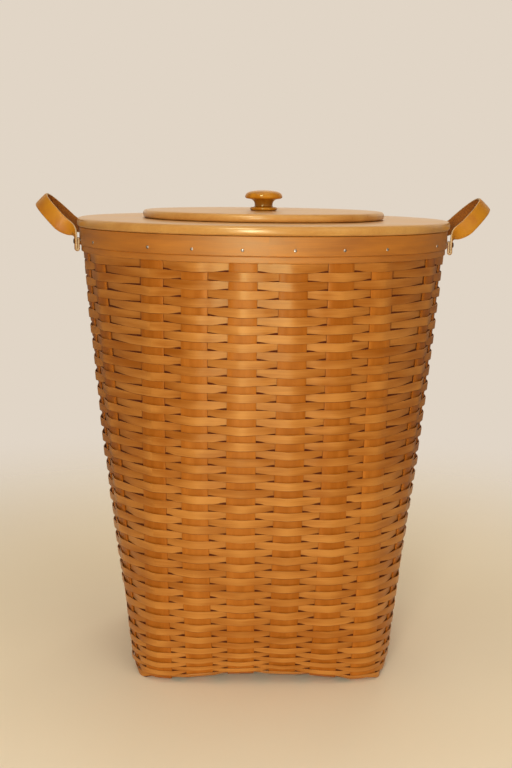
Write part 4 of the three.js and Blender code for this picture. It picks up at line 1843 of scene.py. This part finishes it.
    def strap(self) -> bpy.types.Object:
        """Sweeps the strap along its way.

        Returns:
            The piece.
        """
        loop = self.loop()
        back = self.folded_end(StrapEnd.BACK, loop[-1])[::-1]
        rows = self.folded_end(StrapEnd.FRONT, loop[0]) + loop + back
        points = np.array([tuple(row.point) for row in rows])
        facing = np.array([tuple(row.facing) for row in rows])
        halves = np.array([row.half for row in rows])
        along = np.gradient(points, axis=0)
        along /= np.linalg.norm(along, axis=1)[:, None]
        facing -= along * np.sum(facing * along, 1)[:, None]
        facing /= np.linalg.norm(facing, axis=1)[:, None]
        wide = np.cross(along, facing)
        place, depth = np.array(self.SECTION).T
        sections = (
            points[:, None]
            + wide[:, None] * (place[None, :] * halves[:, None])[..., None]
            + facing[:, None] * (depth * self.thickness / 2)[None, :, None]
        )
        ring = np.append(place, place[0]) * self.width / 2
        shape = Shape()
        shape.add_loft(
            sections,
            grain_map(lengths(points), ring),
            looped=False,
            side=np.sign(depth),
            raw=(np.abs(place) > self.raw_from).astype(float),
        )
        name = f"{self.side}_ear_strap"
        piece = shape.piece(name, self.finishes.leather)
        shade(piece, self.crease_deg)
        start, end = self.hinge - self.rise * self.bend_below, self.hinge + self.rise * self.bend_above
        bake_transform(piece)
        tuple(start)
        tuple(end)
        tabs = [f"{self.side}_handle_{end}_tab" for end in StrapEnd]
        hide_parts(f"{self.side}_handle_strap", *tabs)
        log.info("%s: %d faces across the fold", name, len(piece.data.polygons))
        return piece

    def screws(self) -> bpy.types.Object:
        """Sets the dark screw heads on both tabs.

        Returns:
            The piece.
        """
        frames = [self.tab_frame(end) for end in StrapEnd]
        low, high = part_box(f"{self.side}_handle_front_screw")
        z = (low.z + high.z) / 2
        points = [Vector((m.x, m.y, z)) + out * (self.thickness + self.screw_gap) for m, out in frames]
        nodes = [f"{self.side}_handle_{end}_screw" for end in StrapEnd]
        heads = Heads(
            f"{self.side}_strap_screws", HeadShape.SCREW, self.screw_radius, self.screw_height,
            self.finishes.screw, "dark_screw",
        )
        return heads.build(points, [out for _, out in frames], nodes)

    def build(self) -> list[bpy.types.Object]:
        """Builds the strap and its screws."""
        return [self.strap(), self.screws()]


@dataclass(frozen=True)
class Lamp:
    """A square soft lamp, which may be left out of reflections or out of the plain light."""

    name: str
    at: Triple
    size: float
    watts: float
    in_reflections: bool = True
    in_plain_light: bool = True


@dataclass
class Studio:
    """The camera at the photographed angle, soft lamps, a pale floor and a pale surround."""

    camera_at: Triple = (-0.0445, -1.5953, 0.6346)
    heading: float = 0.0234
    pitch: float = 0.1727
    roll: float = 0.0122
    lens: float = 56.25
    sensor: float = 36.0
    nearest: float = 0.01
    farthest: float = 50.0
    aim_height: float = 0.32
    lamp_colour: Triple = (1.0, 0.95, 0.87)
    floor_radius: float = 1.5
    floor_steps: int = 64
    floor_cloud: float = 2.5
    floor_detail: float = 4.0
    floor_roughness: float = 0.7
    fade_start: float = 0.35
    fade_end: float = 1.4
    ambient: float = 0.4
    horizon_span: Spot = (-0.04, 0.06)
    wall_span: Spot = (0.3, 0.75)
    wall_gloss: float = 0.75
    ground_gloss: float = -0.2

    FLOOR_DEEP = tone(240, 224, 192)
    FLOOR_PALE = tone(245, 231, 201)
    SEEN_TONE = tone(225, 213, 198)
    GLOSS_TONE = tone(238, 216, 190)
    LAMPS = (
        Lamp("key", (-0.24, -1.8, 0.66), 0.4, 19.0, in_reflections=False),
        Lamp("key_glint", (-0.24, -1.8, 0.47), 0.22, 13.0, in_plain_light=False),
        Lamp("knob_glint", (-0.35, -1.3, 1.35), 0.35, 11.0, in_plain_light=False),
        Lamp("fill", (1.0, -1.6, 1.2), 1.4, 6.0),
        Lamp("top", (-0.1, -0.2, 2.4), 1.8, 9.5),
        Lamp("behind", (0.3, 2.0, 1.3), 1.6, 18.0, in_reflections=False),
        Lamp("floor_glint", (-0.08, -1.15, 0.08), 0.6, 4.5, in_plain_light=False),
    )

    def camera(self) -> None:
        """Sets the camera up."""
        ahead = Vector((math.sin(self.heading), math.cos(self.heading), 0)) * math.cos(self.pitch)
        ahead.z = -math.sin(self.pitch)
        level = Vector((math.cos(self.heading), -math.sin(self.heading), 0))
        upright = level.cross(ahead)
        right = level * math.cos(self.roll) + upright * math.sin(self.roll)
        up = upright * math.cos(self.roll) - level * math.sin(self.roll)
        data = bpy.data.cameras.new("camera")
        data.lens, data.sensor_width = self.lens, self.sensor
        data.clip_start, data.clip_end = self.nearest, self.farthest
        made = bpy.data.objects.new("camera", data)
        turn = Matrix((right, up, -ahead)).transposed()
        made.matrix_world = Matrix.Translation(Vector(self.camera_at)) @ turn.to_4x4()
        bpy.context.scene.collection.objects.link(made)
        bpy.context.scene.camera = made

    def light(self, lamp: Lamp) -> None:
        """Sets a lamp up, looking at the hamper's middle.

        Args:
            lamp: What the lamp is like.
        """
        data = bpy.data.lights.new(lamp.name, "AREA")
        data.size, data.energy, data.color = lamp.size, lamp.watts, self.lamp_colour
        made = bpy.data.objects.new(lamp.name, data)
        made.location = lamp.at
        aim = Vector((0, 0, self.aim_height)) - Vector(lamp.at)
        made.rotation_euler = aim.to_track_quat("-Z", "Y").to_euler()
        made.visible_camera = False
        made.visible_glossy = lamp.in_reflections
        made.visible_diffuse = lamp.in_plain_light
        bpy.context.scene.collection.objects.link(made)

    def floor(self) -> None:
        """Lays the pale floor, which fades into the surround far out."""
        surface = Surface("pale_floor")
        point = surface.object_place()
        cloud = surface.noise(point, (self.floor_cloud,) * 3, self.floor_detail)
        tones = surface.mixed(cloud, self.FLOOR_DEEP, self.FLOOR_PALE)
        material = surface.dress({"Base Color": tones, "Roughness": self.floor_roughness})
        reach = surface.node("ShaderNodeVectorMath", {"operation": "LENGTH"}, {0: point}, output=1)
        share = reach.ramp(self.fade_start, self.fade_end)
        clear = surface.node("ShaderNodeBsdfTransparent")
        own = Wire(surface, surface.shader.outputs[0])
        faded = surface.node("ShaderNodeMixShader", None, {0: share, 1: own, 2: clear})
        surface.feed(surface.tree.nodes["Material Output"].inputs["Surface"], faded)
        mesh = bpy.data.meshes.new("floor")
        ring = np.linspace(0, 2 * math.pi, self.floor_steps, endpoint=False)
        points = [(self.floor_radius * math.cos(a), self.floor_radius * math.sin(a), 0) for a in ring]
        mesh.from_pydata(points, [], [list(range(self.floor_steps))])
        mesh.materials.append(material)
        add_object("floor", mesh)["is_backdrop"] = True

    def surround(self) -> None:
        """Gives the world a pale colour for the camera, a pale wall behind for gloss, and soft light."""
        world = bpy.data.worlds.new("surround")
        world.use_nodes = True
        bpy.context.scene.world = world
        bench = NodeBench(world.node_tree)
        rays = ("Is Camera Ray", "Is Glossy Ray", "Is Transmission Ray")
        seen, gloss, clear = bench.outputs("ShaderNodeLightPath", rays)
        _, behind, up = bench.split(bench.node("ShaderNodeTexCoord", output="Generated"))
        wall = behind.ramp(*self.wall_span) * up.ramp(*self.horizon_span) * self.wall_gloss
        glossy = wall + up.ramp(*self.horizon_span, self.ground_gloss, 0.0)
        shown = seen.at_least(clear) * (1 - self.ambient) + self.ambient
        pale = world.node_tree.nodes["Background"]
        bench.feed(pale.inputs["Color"], bench.mixed(gloss, self.SEEN_TONE, self.GLOSS_TONE))
        bench.feed(pale.inputs["Strength"], shown + gloss * glossy)

    def build(self) -> None:
        """Sets the whole stage up."""
        bpy.context.scene.view_settings.view_transform = "Standard"
        self.camera()
        self.floor()
        self.surround()
        for lamp in self.LAMPS:
            self.light(lamp)


def write_sizes() -> None:
    """Works out the box of the frame and the box of the dressed hamper, but does not write them."""
    boxes = {"cad": CAD_BOX, "visual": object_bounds()}
    plain = {name: [list(corner) for corner in box] for name, box in boxes.items()}


def main() -> None:
    """Builds the stage and every piece of the hamper."""
    logging.basicConfig(level=logging.INFO, format="%(name)s: %(message)s")
    Studio().build()
    finishes = Finishes()
    wall = WallShape()
    builders: list[Callable[[], list[bpy.types.Object]]] = [
        WeaverRows(wall, finishes.weaver).build,
        Uprights(wall, finishes.upright).build,
        Rim(wall, finishes).build,
        Lids(finishes).build,
        EarHandle(Side.LEFT, finishes).build,
        EarHandle(Side.RIGHT, finishes).build,
    ]
    made = [piece for build in builders for piece in build()]
    log.info("%d pieces", len(made))
    write_sizes()


if __name__ == "__main__":
    main()
